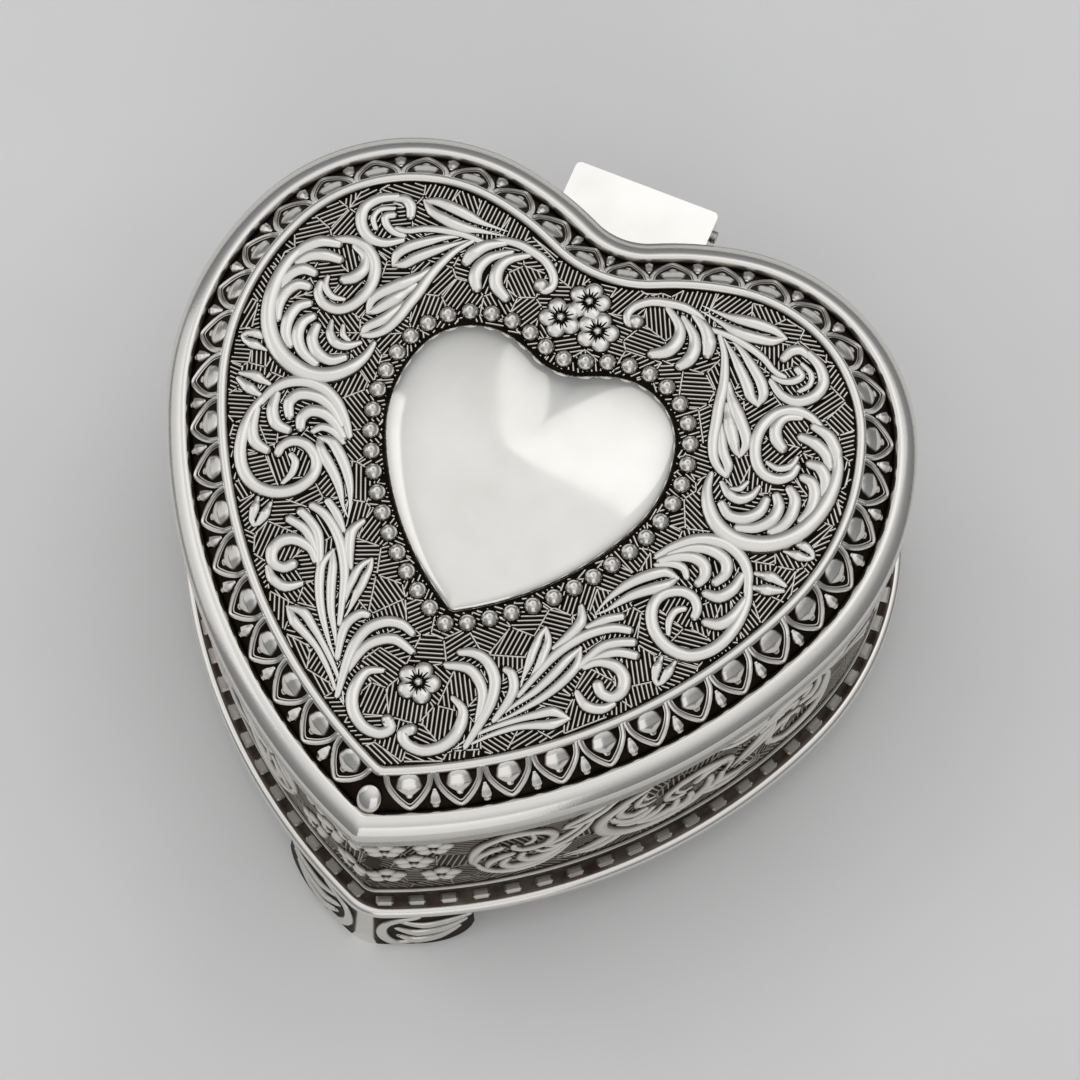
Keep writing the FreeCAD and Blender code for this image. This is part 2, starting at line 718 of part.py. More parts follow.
def make_hinge_pin():
    """Plain pin, a little longer than the hinge."""
    return knuckle(-hinge_side - pin_overhang, hinge_side + pin_overhang, pin_radius)


def make_parts():
    """All the pieces by name."""
    lid_rivet_rear = lid_block_rear - rivet_end_cover - rivet_clearance
    body_rivet_rear = body_block_rear - rivet_end_cover - rivet_clearance
    floor_top = card_seat + card_thickness
    lid_card_bottom = ceiling - lid_card_thickness
    parts = make_feet()
    parts["foot_screws"] = make_foot_screws()
    parts["base_plate"] = make_base_plate()
    parts["base_moulding"] = make_base_moulding()
    parts["box_wall"] = make_box_wall()
    parts["wall_lining"] = make_wall_lining()
    parts["floor_card"] = heart.prism(lining_outer, wall_tip_radius, card_seat, floor_top)
    parts["floor_pad"] = make_pad(lining_inner + lining_gap, pad_edge, floor_top, pad_thickness)
    parts["hinge_body_leaf"] = make_hinge_body_leaf()
    parts["hinge_body_rivets"] = make_rivets(
        body_rivet_radius, body_rivet_z, body_rivet_rear, wall_inner, wall_tip_radius
    )
    parts["hinge_pin"] = make_hinge_pin()
    parts["lid_shell"] = make_lid_shell()
    parts["heart_plaque"] = make_plaque()
    parts["lid_card"] = heart.prism(lid_card_inset, wall_tip_radius, lid_card_bottom, ceiling)
    parts["lid_pad"] = make_pad(lid_card_inset, lid_pad_edge, lid_card_bottom, -lid_pad_thickness)
    parts["hinge_lid_leaf"] = make_hinge_lid_leaf()
    parts["hinge_lid_rivets"] = make_rivets(
        lid_rivet_radius, lid_rivet_z, lid_rivet_rear, lid_inner, lid_tip_radius
    )
    return parts


os.makedirs("parts", exist_ok=True)
for node, shape in make_parts().items():
    if not shape.isValid():
        raise ValueError("the shape of " + node + " is not valid")
    shape.exportStep("parts/" + node + ".step")
    box = shape.BoundBox
    low = [round(value, 2) for value in (box.XMin, box.YMin, box.ZMin)]
    high = [round(value, 2) for value in (box.XMax, box.YMax, box.ZMax)]
    print(node, len(shape.Solids), "solids, volume", round(shape.Volume, 1), low, high)
print("cleft of the rim at y", round(cleft_y, 3), "hinge axis", round(hinge_y, 3), round(hinge_z, 3))
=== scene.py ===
"""Heart-shaped keepsake box of antiqued cast silver plate, dressed for a studio picture."""
import logging
import math
import random
from collections.abc import Callable, Sequence
from dataclasses import dataclass, field
from enum import Enum

import bmesh
import bpy
from bmesh.types import BMEdge, BMesh, BMVert
from bpy.types import ID, Curve, Material, Mesh, Node, NodeSocket, NodeTree, Object
from mathutils import Matrix, Vector, kdtree


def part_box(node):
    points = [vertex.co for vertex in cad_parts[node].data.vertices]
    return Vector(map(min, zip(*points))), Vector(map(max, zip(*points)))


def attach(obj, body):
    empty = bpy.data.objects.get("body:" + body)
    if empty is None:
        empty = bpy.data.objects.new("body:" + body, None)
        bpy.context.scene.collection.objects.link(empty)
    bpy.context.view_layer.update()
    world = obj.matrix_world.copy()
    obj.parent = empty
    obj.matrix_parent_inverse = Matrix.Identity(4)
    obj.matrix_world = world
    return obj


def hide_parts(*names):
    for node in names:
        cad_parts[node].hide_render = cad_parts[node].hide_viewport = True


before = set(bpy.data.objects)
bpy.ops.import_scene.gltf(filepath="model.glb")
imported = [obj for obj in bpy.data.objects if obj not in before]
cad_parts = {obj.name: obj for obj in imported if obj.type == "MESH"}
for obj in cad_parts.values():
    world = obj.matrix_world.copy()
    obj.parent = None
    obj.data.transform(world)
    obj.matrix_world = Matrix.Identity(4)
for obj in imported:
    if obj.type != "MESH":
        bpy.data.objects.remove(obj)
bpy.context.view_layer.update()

MM = 0.001
# Per-vertex tone of the antiqued silver: patina in recesses, wear on crests and painted shade on flanks
WEAR_AND_SHADE = "wear_and_shade"
MERGE_DISTANCE = 0.0005
log = logging.getLogger("keepsake_box")

Plan = tuple[float, float]
Surface = Callable[[Vector], Vector]


class Body(Enum):
    """Moving bodies of the box."""

    BOX = "box"
    LID = "lid"


class Slot(Enum):
    """Material slots of the record."""

    ANTIQUE = "antique_silver"
    POLISHED = "polished_silver"
    VELVET = "velvet"
    CARD = "card"
    STEEL = "steel"


def linear(colour: str) -> tuple[float, float, float, float]:
    """Turn an sRGB hex colour into linear RGBA.

    Args:
        colour: six hex digits after a hash sign.

    Returns:
        Linear red, green, blue and an alpha of 1.
    """
    channels = [int(colour[start:start + 2], 16) / 255 for start in (1, 3, 5)]
    red, green, blue = [
        value / 12.92 if value <= 0.04045 else ((value + 0.055) / 1.055) ** 2.4 for value in channels
    ]
    return red, green, blue, 1.0


def add_node(tree: NodeTree, kind: str, inputs: dict, **settings: object) -> Node:
    """Add one node with its settings, and set or link its inputs.

    Args:
        tree: node tree that gets the node.
        kind: Blender's name of the node type.
        inputs: value or output socket for each named or numbered input.
        settings: properties of the node itself.

    Returns:
        The new node.
    """
    node = tree.nodes.new(kind)
    for name, value in settings.items():
        setattr(node, name, value)
    for name, value in inputs.items():
        if isinstance(value, NodeSocket):
            tree.links.new(value, node.inputs[name])
        else:
            node.inputs[name].default_value = value
    return node


def set_ramp(node: Node, stops: Sequence[tuple[float, str]]) -> NodeSocket:
    """Give a colour ramp its stops, and return its colour output."""
    elements = node.color_ramp.elements
    while len(elements) < len(stops):
        elements.new(1.0)
    for element, (place, colour) in zip(elements, stops):
        element.position = place
        element.color = linear(colour)
    return node.outputs["Color"]


def add_object(name: str, data: ID) -> Object:
    """Put a new object with its data into the scene."""
    obj = bpy.data.objects.new(name, data)
    bpy.context.scene.collection.objects.link(obj)
    return obj


def to_mesh(name: str, bm: BMesh) -> Mesh:
    """Turn a bmesh into a mesh, and free it."""
    mesh = bpy.data.meshes.new(name)
    bm.to_mesh(mesh)
    bm.free()
    return mesh


def join(bm: BMesh, other: BMesh) -> None:
    """Add another bmesh to one, and free the other."""
    mesh = to_mesh("joined", other)
    bm.from_mesh(mesh)
    bpy.data.meshes.remove(mesh)


def heights(node: str) -> tuple[float, float]:
    """Lowest and highest point of a solid, in millimetres."""
    low, high = (corner.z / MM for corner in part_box(node))
    return low, high


@dataclass(frozen=True)
class Finish:
    """Surface of one real material: its tones and gloss vary with a grain of a real size."""

    name: str
    stops: tuple[tuple[float, str], ...]
    grain_mm: float
    detail: float
    roughness: tuple[float, float]
    metallic: float = 0.0

    def start(self) -> tuple[Material, NodeTree, Node]:
        """Make an empty material, and return it with its tree and its shader."""
        material = bpy.data.materials.new(self.name)
        material.use_nodes = True
        tree = material.node_tree
        return material, tree, tree.nodes["Principled BSDF"]

    @staticmethod
    def noise(tree: NodeTree, grain_mm: float, detail: float) -> NodeSocket:
        """Add noise with grains of a real size, on object coordinates.

        Args:
            tree: node tree of the material.
            grain_mm: size of one grain in millimetres.
            detail: number of finer layers.

        Returns:
            The noise value, from 0 to 1.
        """
        place = add_node(tree, "ShaderNodeTexCoord", {})
        inputs = {"Vector": place.outputs["Object"], "Scale": 1 / (grain_mm * MM), "Detail": detail}
        return add_node(tree, "ShaderNodeTexNoise", inputs).outputs["Fac"]

    @staticmethod
    def spread(tree: NodeTree, value: NodeSocket, low: float, high: float) -> NodeSocket:
        """Map a value from 0 to 1 onto a range, and return the result."""
        inputs = {"Value": value, "To Min": low, "To Max": high}
        return add_node(tree, "ShaderNodeMapRange", inputs).outputs["Result"]

    @staticmethod
    def bump(tree: NodeTree, shader: Node, height: NodeSocket, depth_mm: float, strength: float) -> None:
        """Give the shader a bump of a real depth."""
        inputs = {"Height": height, "Distance": depth_mm * MM, "Strength": strength}
        tree.links.new(add_node(tree, "ShaderNodeBump", inputs).outputs["Normal"], shader.inputs["Normal"])

    def shade(self, tree: NodeTree, shader: Node, value: NodeSocket) -> None:
        """Set colour, metal and gloss.

        Args:
            tree: node tree of the material.
            shader: shader of the material.
            value: runs from 0 to 1 along the stops and from the first roughness to the second.
        """
        ramp = add_node(tree, "ShaderNodeValToRGB", {"Fac": value})
        tree.links.new(set_ramp(ramp, self.stops), shader.inputs["Base Color"])
        shader.inputs["Metallic"].default_value = self.metallic
        first, second = self.roughness
        if first == second:
            shader.inputs["Roughness"].default_value = first
        else:
            tree.links.new(self.spread(tree, value, first, second), shader.inputs["Roughness"])

    def material(self) -> Material:
        """Vary tone and gloss with the grain, and return the material."""
        material, tree, shader = self.start()
        self.shade(tree, shader, self.noise(tree, self.grain_mm, self.detail))
        return material


@dataclass(frozen=True)
class AntiquedFinish(Finish):
    """Cast metal, blackened and rubbed back, with patina in recesses, bright crests and painted shade on
    flanks.
    """

    tarnish_share: float = 0.22
    cast_grain_mm: float = 0.35
    cast_detail: float = 2.0
    cast_depth_mm: float = 0.012
    cast_strength: float = 0.5

    def material(self) -> Material:
        """Blend patina, rubbed metal and painted shade by the tone stored on the mesh, and return the
        material.
        """
        material, tree, shader = self.start()
        wear_and_shade = add_node(tree, "ShaderNodeAttribute", {}, attribute_name=WEAR_AND_SHADE).outputs["Fac"]
        half = self.tarnish_share / 2
        tarnish = self.spread(tree, self.noise(tree, self.grain_mm, self.detail), -half, half)
        # The stored tone carries patina, wear and painted shade; random tarnish shifts it
        worn_and_shaded = add_node(tree, "ShaderNodeMath", {0: wear_and_shade, 1: tarnish}, operation="ADD", use_clamp=True)
        self.shade(tree, shader, worn_and_shaded.outputs["Value"])
        grain = self.noise(tree, self.cast_grain_mm, self.cast_detail)
        self.bump(tree, shader, grain, self.cast_depth_mm, self.cast_strength)
        return material


@dataclass(frozen=True)
class PileFinish(Finish):
    """Cloth with a short pile, whose larger grain is the patches where the pile leans."""

    pile_mm: float = 0.45
    pile_detail: float = 2.0
    pile_depth_mm: float = 0.25
    pile_strength: float = 0.7
    specular: float = 0.15
    sheen: float = 0.55
    sheen_roughness: float = 0.35
    sheen_colour: str = "#8d9ad6"

    def material(self) -> Material:
        """Mix deep and brushed pile, with a bump of the tufts, and return the material."""
        material, tree, shader = self.start()
        tufts = self.noise(tree, self.pile_mm, self.pile_detail)
        lean = self.noise(tree, self.grain_mm, self.detail)
        both = add_node(tree, "ShaderNodeMath", {0: tufts, 1: lean}, operation="MULTIPLY")
        self.shade(tree, shader, both.outputs["Value"])
        shader.inputs["Specular IOR Level"].default_value = self.specular
        shader.inputs["Sheen Weight"].default_value = self.sheen
        shader.inputs["Sheen Roughness"].default_value = self.sheen_roughness
        shader.inputs["Sheen Tint"].default_value = linear(self.sheen_colour)
        self.bump(tree, shader, tufts, self.pile_depth_mm, self.pile_strength)
        return material


# Blackened silver plate on a zinc casting, rubbed back: bright crests, brown-black recesses, painted shade on
# flanks
ANTIQUE_SILVER = AntiquedFinish(
    "antiqued_silver_plate", ((0.0, "#15120f"), (0.22, "#3a2f27"), (0.5, "#8d877f"), (0.82, "#e4e1db")),
    grain_mm=3.5, detail=4.0, roughness=(0.5, 0.17), metallic=1.0,
)
# Buffed silver plate: a near mirror, with the faint cloudiness that handling leaves
BUFFED_SILVER = Finish(
    "buffed_silver_plate", ((0.35, "#efede8"), (0.75, "#e2dfd8")),
    grain_mm=14.0, detail=5.0, roughness=(0.07, 0.16), metallic=1.0,
)
# Short-pile cotton velvet: deep colour, a soft sheen, and patches where the pile leans
VELVET = PileFinish(
    "short_pile_velvet", ((0.12, "#0b0f26"), (0.42, "#1c2450")),
    grain_mm=16.0, detail=3.0, roughness=(0.95, 0.95),
)
# Pressed grey board: dull, with darker fibres
GREY_BOARD = Finish(
    "pressed_grey_board", ((0.4, "#7d6c55"), (0.6, "#a4937a")),
    grain_mm=0.8, detail=6.0, roughness=(0.9, 0.9),
)
# Turned mild steel of pins, rivets and screws: grey, with fine tool marks
PLAIN_STEEL = Finish(
    "turned_mild_steel", ((0.3, "#9b9a97"), (0.7, "#c6c5c2")),
    grain_mm=0.5, detail=4.0, roughness=(0.25, 0.45), metallic=1.0,
)
# Matt pale studio board, with hardly visible mottling
PALE_FLOOR = Finish(
    "pale_studio_board", ((0.3, "#eae9e7"), (0.7, "#f0efed")),
    grain_mm=60.0, detail=3.0, roughness=(0.85, 0.85),
)

# Angles above which the edges of castings, of the plaque and of soft or hatched pieces stay sharp
CASTING_DEGREES = 50.0
PLAQUE_DEGREES = 60.0
SOFT_DEGREES = 80.0


class Wardrobe:
    """All the materials, one for each slot, made once."""

    def __init__(self) -> None:
        """Make the materials."""
        self.materials = {
            Slot.ANTIQUE: ANTIQUE_SILVER.material(),
            Slot.POLISHED: BUFFED_SILVER.material(),
            Slot.VELVET: VELVET.material(),
            Slot.CARD: GREY_BOARD.material(),
            Slot.STEEL: PLAIN_STEEL.material(),
        }

    def dress(self, obj: Object, slot: Slot) -> None:
        """Give an object the material of a slot."""
        obj.data.materials.clear()
        obj.data.materials.append(self.materials[slot])

    def make_piece(self, name: str, bm: BMesh, body: Body, slot: Slot = Slot.ANTIQUE,
                   stands_for: Sequence[str] = (), sharp_degrees: float = 35.0) -> Object:
        """Turn a bmesh into a dressed piece that rides on a body.

        Args:
            name: name of the piece.
            bm: its shape in metres; it is freed.
            body: body that it moves with.
            slot: slot of its material.
            stands_for: solids that it replaces.
            sharp_degrees: edges above this angle stay sharp.

        Returns:
            The new object.
        """
        mesh = to_mesh(name, bm)
        mesh.shade_smooth()
        mesh.set_sharp_from_angle(angle=math.radians(sharp_degrees))
        obj = add_object(name, mesh)
        self.dress(obj, slot)
        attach(obj, body.value)
        if stands_for:
            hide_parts(*stands_for)
        log.info("%s: %d faces on the %s", name, len(mesh.polygons), body.value)
        return obj


@dataclass(frozen=True)
class OutlineArc:
    """Arc of an outline: its centre, its signed reach and the headings of its ends."""

    centre: Vector
    reach: float
    start: float
    end: float

    @property
    def length(self) -> float:
        """Length of the arc."""
        return abs(self.reach * (self.end - self.start))

    def at(self, share: float) -> tuple[Vector, Vector]:
        """Point and outward direction at a share of the arc."""
        heading = self.start + (self.end - self.start) * share
        outward = Vector((-math.sin(heading), math.cos(heading), 0))
        return self.centre + outward * self.reach, outward


class OutlinePath:
    """Closed heart outline at one inset, measured along its length from the cleft."""

    def __init__(self, arcs: Sequence[OutlineArc]) -> None:
        """Keep the arcs of the right half, from the cleft to the tip."""
        self.arcs = arcs
        self.half = sum(arc.length for arc in arcs)

    def at(self, distance: float) -> tuple[Vector, Vector]:
        """Find a place on the outline.

        Args:
            distance: length from the cleft, to the right; past the tip it comes back on the left.

        Returns:
            The point and the outward direction there.
        """
        around = distance % (2 * self.half)
        side = 1.0
        if around > self.half:
            around = 2 * self.half - around
            side = -1.0
        for arc in self.arcs:
            if around <= arc.length or arc is self.arcs[-1]:
                point, outward = arc.at(min(around / arc.length, 1.0))
                return Vector((side * point.x, point.y, 0)), Vector((side * outward.x, outward.y, 0))
            around -= arc.length
        raise ValueError("the outline has no arcs")


@dataclass(frozen=True)
class HeartOutline:
    """Heart of tangent arcs, mirrored about the middle, in millimetres; it can be inset or outset."""

    cleft_y: float
    radii: tuple[float, ...]
    headings: tuple[float, ...]
    arc_steps: tuple[int, ...] = (6, 9, 28, 20, 40, 5)

    def arcs(self, inset: float, tip_radius: float) -> list[OutlineArc]:
        """Arcs of the right half at an inset, from the cleft to the tip.

        Args:
            inset: distance inside the outline, negative outside it.
            tip_radius: radius that rounds the tip.

        Returns:
            The cleft's hollow arc, the four arcs of the lobe and side, and the tip's arc.
        """
        limits = [math.radians(heading) for heading in self.headings]
        centre = Vector((0, self.cleft_y + self.radii[0], 0))
        arcs = [OutlineArc(centre, -self.radii[0] - inset, 0.0, limits[0])]
        reach = -self.radii[0]
        for radius, heading in zip(self.radii[1:], limits):
            outward = Vector((-math.sin(heading), math.cos(heading), 0))
            centre = centre + outward * (reach - radius)
            reach = radius
            arcs.append(OutlineArc(centre, radius - inset, heading, heading))
        lengthened = [
            OutlineArc(arc.centre, arc.reach, arc.start, end) for arc, end in zip(arcs[1:], limits[1:])
        ]
        gap = self.radii[-1] - inset - tip_radius
        tip = Vector((0, centre.y - math.sqrt(gap ** 2 - centre.x ** 2), 0))
        to_tip = tip - centre
        tip_heading = math.atan2(to_tip.y, to_tip.x) - math.pi / 2
        side = OutlineArc(centre, self.radii[-1] - inset, limits[-1], tip_heading)
        return [arcs[0], *lengthened, side, OutlineArc(tip, tip_radius, tip_heading, -math.pi)]

    def path(self, inset: float, tip_radius: float) -> OutlinePath:
        """Outline at an inset, measured along its length."""
        return OutlinePath(self.arcs(inset, tip_radius))

    def ring(self, inset: float, tip_radius: float, height: float) -> list[Vector]:
        """Points round the outline at an inset and a height, the same number for every inset.

        Args:
            inset: distance inside the outline.
            tip_radius: radius that rounds the tip.
            height: height of the ring.

        Returns:
            The points, from the cleft round the right half and back along the left.
        """
        right = []
        for arc, steps in zip(self.arcs(inset, tip_radius), self.arc_steps):
            right += [arc.at(step / steps)[0] for step in range(steps)]
        tip = self.arcs(inset, tip_radius)[-1].at(1.0)[0]
        left = [Vector((-point.x, point.y, 0)) for point in reversed(right[1:])]
        return [Vector((point.x, point.y, height)) for point in [*right, tip, *left]]


@dataclass(frozen=True)
class Level:
    """One ring of a moulded profile: inset, height, tone from patina, wear and painted shade, and its own tip
    radius.
    """

    inset: float
    height: float
    wear_and_shade: float = 1.0
    tip_radius: float | None = None


class Loft:
    """Skin through rings that have the same number of points."""

    def __init__(self, first: Sequence[Vector], wear_and_shade: float) -> None:
        """Start with one ring, in millimetres."""
        self.bm = bmesh.new()
        self.station = self.bm.verts.layers.int.new("station")
        self.wear_and_shade = self.bm.verts.layers.float.new(WEAR_AND_SHADE)
        ring = bmesh.ops.create_circle(self.bm, segments=len(first), radius=1.0)["verts"]
        for index, vert in enumerate(ring):
            vert[self.station] = index
            vert[self.wear_and_shade] = wear_and_shade
            vert.co = first[index] * MM
        self.edges = self.bm.edges[:]

    def cap(self) -> None:
        """Close the last ring with a face."""
        bmesh.ops.contextual_create(self.bm, geom=self.edges)

    def grow(self, ring: Sequence[Vector], wear_and_shade: float) -> None:
        """Extrude the last ring to the next one.

        Args:
            ring: points of the next ring, in millimetres.
            wear_and_shade: how bright it is, from patina, wear and painted shade.
        """
        grown = bmesh.ops.extrude_edge_only(self.bm, edges=self.edges)["geom"]
        self.edges = [item for item in grown if isinstance(item, BMEdge)]
        for vert in (item for item in grown if isinstance(item, BMVert)):
            vert.co = ring[vert[self.station]] * MM
            vert[self.wear_and_shade] = wear_and_shade

    def shape(self) -> BMesh:
        """Merge doubles, turn the faces outwards, and return the mesh."""
        bmesh.ops.remove_doubles(self.bm, verts=self.bm.verts, dist=MERGE_DISTANCE * MM)
        bmesh.ops.recalc_face_normals(self.bm, faces=self.bm.faces)
        return self.bm


def loft_levels(outline: HeartOutline, levels: Sequence[Level], tip_radius: float, capped: bool) -> BMesh:
    """Skin a heart-shaped moulding through its levels.

    Args:
        outline: outline that the levels are inset from.
        levels: profile of the moulding.
        tip_radius: radius that rounds the tip of each level without its own.
        capped: close the first and last rings with faces; else the last level meets the first.

    Returns:
        The closed mesh, in metres.
    """

    def ring(level: Level) -> list[Vector]:
        radius = tip_radius if level.tip_radius is None else level.tip_radius
        return outline.ring(level.inset, radius, level.height)

    loft = Loft(ring(levels[0]), levels[0].wear_and_shade)
    if capped:
        loft.cap()
    for level in levels[1:]:
        loft.grow(ring(level), level.wear_and_shade)
    if capped:
        loft.cap()
    return loft.shape()


def smooth_step(low: float, high: float, value: float) -> float:
    """Rise smoothly from 0 at the low value to 1 at the high one."""
    share = min(max((value - low) / (high - low), 0.0), 1.0)
    return share * share * (3 - 2 * share)


# Round nose at the end of a ridge: reach beyond the end and half width, as shares of the end's half width
NOSE = ((0.5, 0.86), (0.85, 0.52), (1.0, 0.04))


@dataclass(frozen=True)
class Stroke:
    """One carved ridge: its half widths from root to end and its line on the plan, in millimetres."""

    widths: tuple[float, ...]
    line: tuple[Plan, ...]

    def width(self, share: float) -> float:
        """Half width at a share of the line."""
        place = share * (len(self.widths) - 1)
        index = min(int(place), len(self.widths) - 2)
        part = place - index
        return self.widths[index] * (1 - part) + self.widths[index + 1] * part

    def radius(self, index: int) -> float:
        """Half width at a point of the line, with one width for each point or spread over them."""
        if len(self.widths) == len(self.line):
            return self.widths[index]
        return self.width(index / (len(self.line) - 1))

    def moved(self, change: Matrix) -> "Stroke":
        """Copy of the stroke, moved by a matrix."""
        line = [change @ Vector((x, y, 0)) for x, y in self.line]
        return Stroke(self.widths, tuple((at.x, at.y) for at in line))

    def mirrored(self, side: int) -> "Stroke":
        """Copy of the stroke, on its own side for 1 and on the other for -1."""
        return Stroke(self.widths, tuple((side * x, y) for x, y in self.line))

    def widened(self, margin: float) -> "Stroke":
        """Copy of the stroke, wider by a margin on both sides."""
        return Stroke(tuple(width + margin for width in self.widths), self.line)

    def rounded(self) -> "Stroke":
        """Copy of the stroke with a round nose beyond each end."""
        points = [Vector(point) for point in self.line]
        widths = [self.radius(index) for index in range(len(points))]
        for end, near in ((0, 1), (-1, -2)):
            outward = (points[end] - points[near]).normalized()
            width = widths[end]
            place = points[end]
            for reach, share in NOSE:
                at = 0 if end == 0 else len(points)
                points.insert(at, place + outward * width * reach)
                widths.insert(at, width * share)
        return Stroke(tuple(widths), tuple((point.x, point.y) for point in points))

    def at(self, share: float) -> Vector:
        """Point at a share of the line's length."""
        points = [Vector(point) for point in self.line]
        left = share * sum((after - before).length for before, after in zip(points, points[1:]))
        for before, after in zip(points, points[1:]):
            length = (after - before).length
            if left <= length:
                return before.lerp(after, left / length)
            left -= length
        return points[-1]


@dataclass(frozen=True)
class Ball:
    """Round boss on the plan: its centre, radius and height above the ground, in millimetres."""

    x: float
    y: float
    radius: float
    height: float

    def mirrored(self, side: int) -> "Ball":
        """Copy of the boss, on its own side for 1 and on the other for -1."""
        return Ball(side * self.x, self.y, self.radius, self.height)


def ridge(widths: tuple[float, ...], *line: Plan) -> Stroke:
    """Stroke with its line written as bare points."""
    return Stroke(widths, line)


# Least half width of one half of a leaf, share by which it tapers to the root, and where that starts
LEAF_LEAST = 0.25
LEAF_TAPER = 0.65
LEAF_TAPER_START = 0.55


def leaf(first: tuple[Plan, ...], second: tuple[Plan, ...], border: float = 0.7, slit: float = 0.05,
         steps: int = 8) -> tuple[Stroke, Stroke]:
    """Solid leaf in two halves with a fine slit between them.

    Args:
        first: line of one edge, from the leaf's tip to its root.
        second: line of the other edge.
        border: distance of the leaf's outline from those lines.
        slit: width of the slit.
        steps: points along each half.

    Returns:
        The two halves.
    """
    edges = Stroke((1.0, 1.0), first), Stroke((1.0, 1.0), second)
    lines = [], []
    widths = []
    for count in range(steps):
        share = count / (steps - 1)
        one, other = edges[0].at(share), edges[1].at(share)
        gap = other - one
        half = max((gap.length + 2 * border - slit) / 4, LEAF_LEAST)
        shift = gap.normalized() * min(half - border, gap.length / 2)
        widths.append(half * (1 - LEAF_TAPER * smooth_step(LEAF_TAPER_START, 1.0, share)))
        lines[0].append(tuple(one + shift))
        lines[1].append(tuple(other - shift))
    return Stroke(tuple(widths), tuple(lines[0])), Stroke(tuple(widths), tuple(lines[1]))


# A handle is this part of the way between a point's neighbours, which makes the line smooth
HANDLE_PARTS = 6


@dataclass
class FlatRelief:
    """Ridges and bosses modelled on a flat sheet in millimetres, then set on a surface."""

    height_share: float = 0.85
    sunk: float = 0.08
    # Tone runs dark to bright as the face turns up, scaled by crest: patina at feet, painted shade on flanks
    dark_slope: float = 0.05
    bright_slope: float = 0.92
    crest: float = 1.0
    sharp_degrees: float = 35.0
    bm: BMesh = field(default_factory=bmesh.new)

    def add_ridges(self, strokes: Sequence[Stroke], sides: int = 3, steps: int = 4,
                   round_ends: bool = True) -> None:
        """Add round ridges along smooth lines.

        Args:
            strokes: lines and half widths.
            sides: Blender's bevel resolution of the ridge.
            steps: points between two points of a line.
            round_ends: whether each end runs out in a round nose.
        """
        curve = bpy.data.curves.new("ridges", "CURVE")
        curve.dimensions = "3D"
        curve.twist_mode = "Z_UP"
        curve.bevel_depth = 1.0
        curve.bevel_resolution = sides
        curve.resolution_u = steps
        curve.use_fill_caps = True
        for stroke in strokes:
            self.add_spline(curve, stroke.rounded() if round_ends else stroke)
        holder = bpy.data.objects.new("ridges", curve)
        mesh = bpy.data.meshes.new_from_object(holder)
        mesh.transform(Matrix.Scale(self.height_share, 4, (0, 0, 1)))
        self.bm.from_mesh(mesh)
        bpy.data.objects.remove(holder)
        bpy.data.curves.remove(curve)
        bpy.data.meshes.remove(mesh)

    @staticmethod
    def add_spline(curve: Curve, stroke: Stroke) -> None:
        """Add one stroke to a curve, with handles that make its line smooth.

        Args:
            curve: curve that gets the stroke.
            stroke: its line and half widths.
        """
        spline = curve.splines.new("BEZIER")
        points = [Vector((x, y, 0)) for x, y in stroke.line]
        last = len(points) - 1
        spline.bezier_points.add(last)
        spline.radius_interpolation = "LINEAR"
        for index, (knot, point) in enumerate(zip(spline.bezier_points, points)):
            before = points[max(index - 1, 0)]
            after = points[min(index + 1, last)]
            pull = (after - before) / HANDLE_PARTS
            knot.co = point
            knot.handle_left = point - pull
            knot.handle_right = point + pull
            knot.radius = stroke.radius(index)

    def add_hatching(self, strokes: Sequence[Stroke]) -> None:
        """Add fine straight ridges with few faces."""
        self.add_ridges(strokes, sides=0, steps=1, round_ends=False)

    def add_balls(self, balls: Sequence[Ball], segments: int = 14) -> None:
        """Add round bosses, each a sphere flattened to its height.

        Args:
            balls: the bosses.
            segments: faces round each of them.
        """
        for ball in balls:
            place = Matrix.Translation((ball.x, ball.y, 0))
            place @= Matrix.Diagonal((ball.radius, ball.radius, ball.height, 1.0))
            single = bmesh.new()
            bmesh.ops.create_uvsphere(
                single, u_segments=segments, v_segments=segments // 2 + 1, radius=1.0, matrix=place
            )
            join(self.bm, single)

    def set_on(self, surface: Surface) -> BMesh:
        """Cut away what is sunk in the ground, paint tone and shade by slope, and bend the sheet onto a
        surface.

        Args:
            surface: turns a point of the flat sheet into its place in metres.

        Returns:
            The relief in place.
        """
        bm = self.bm
        cut_at = (0, 0, -self.sunk)
        bmesh.ops.bisect_plane(
            bm, geom=[*bm.verts, *bm.edges, *bm.faces], plane_co=cut_at, plane_no=(0, 0, 1), clear_inner=True
        )
        bm.normal_update()
        wear_and_shade = bm.verts.layers.float.new(WEAR_AND_SHADE)
        # Brighter as the face turns up: patina at each ridge's foot, painted shade on its flanks
        for vert in bm.verts:
            vert[wear_and_shade] = self.crest * smooth_step(self.dark_slope, self.bright_slope, vert.normal.z)
        for vert in bm.verts:
            vert.co = surface(vert.co)
        return bm

    def cast(self, name: str, wardrobe: Wardrobe, body: Body, surface: Surface) -> None:
        """Set the relief on a surface, as a piece of its own."""
        wardrobe.make_piece(name, self.set_on(surface), body, sharp_degrees=self.sharp_degrees)


def patina_and_shade_fillets(balls: Sequence[Ball], margin: float = 0.35, height: float = 0.3) -> FlatRelief:
    """Low dark rings round bosses: patina, and painted shade where they meet the ground.

    Args:
        balls: the bosses.
        margin: how far the rings reach beyond them.
        height: height of the rings at their middle.

    Returns:
        The rings, still on the flat sheet.
    """
    relief = FlatRelief(crest=0.0)
    rings = [Ball(ball.x, ball.y, ball.radius + margin, height) for ball in balls]
    relief.add_balls(rings, segments=10)
    return relief


def hatched_relief(bright_slope: float, crest: float) -> FlatRelief:
    """Low relief for hatching, hardly sunk in the ground and with soft edges."""
    return FlatRelief(
        height_share=0.8, sunk=0.02, dark_slope=-0.1, bright_slope=bright_slope, crest=crest,
        sharp_degrees=SOFT_DEGREES,
    )


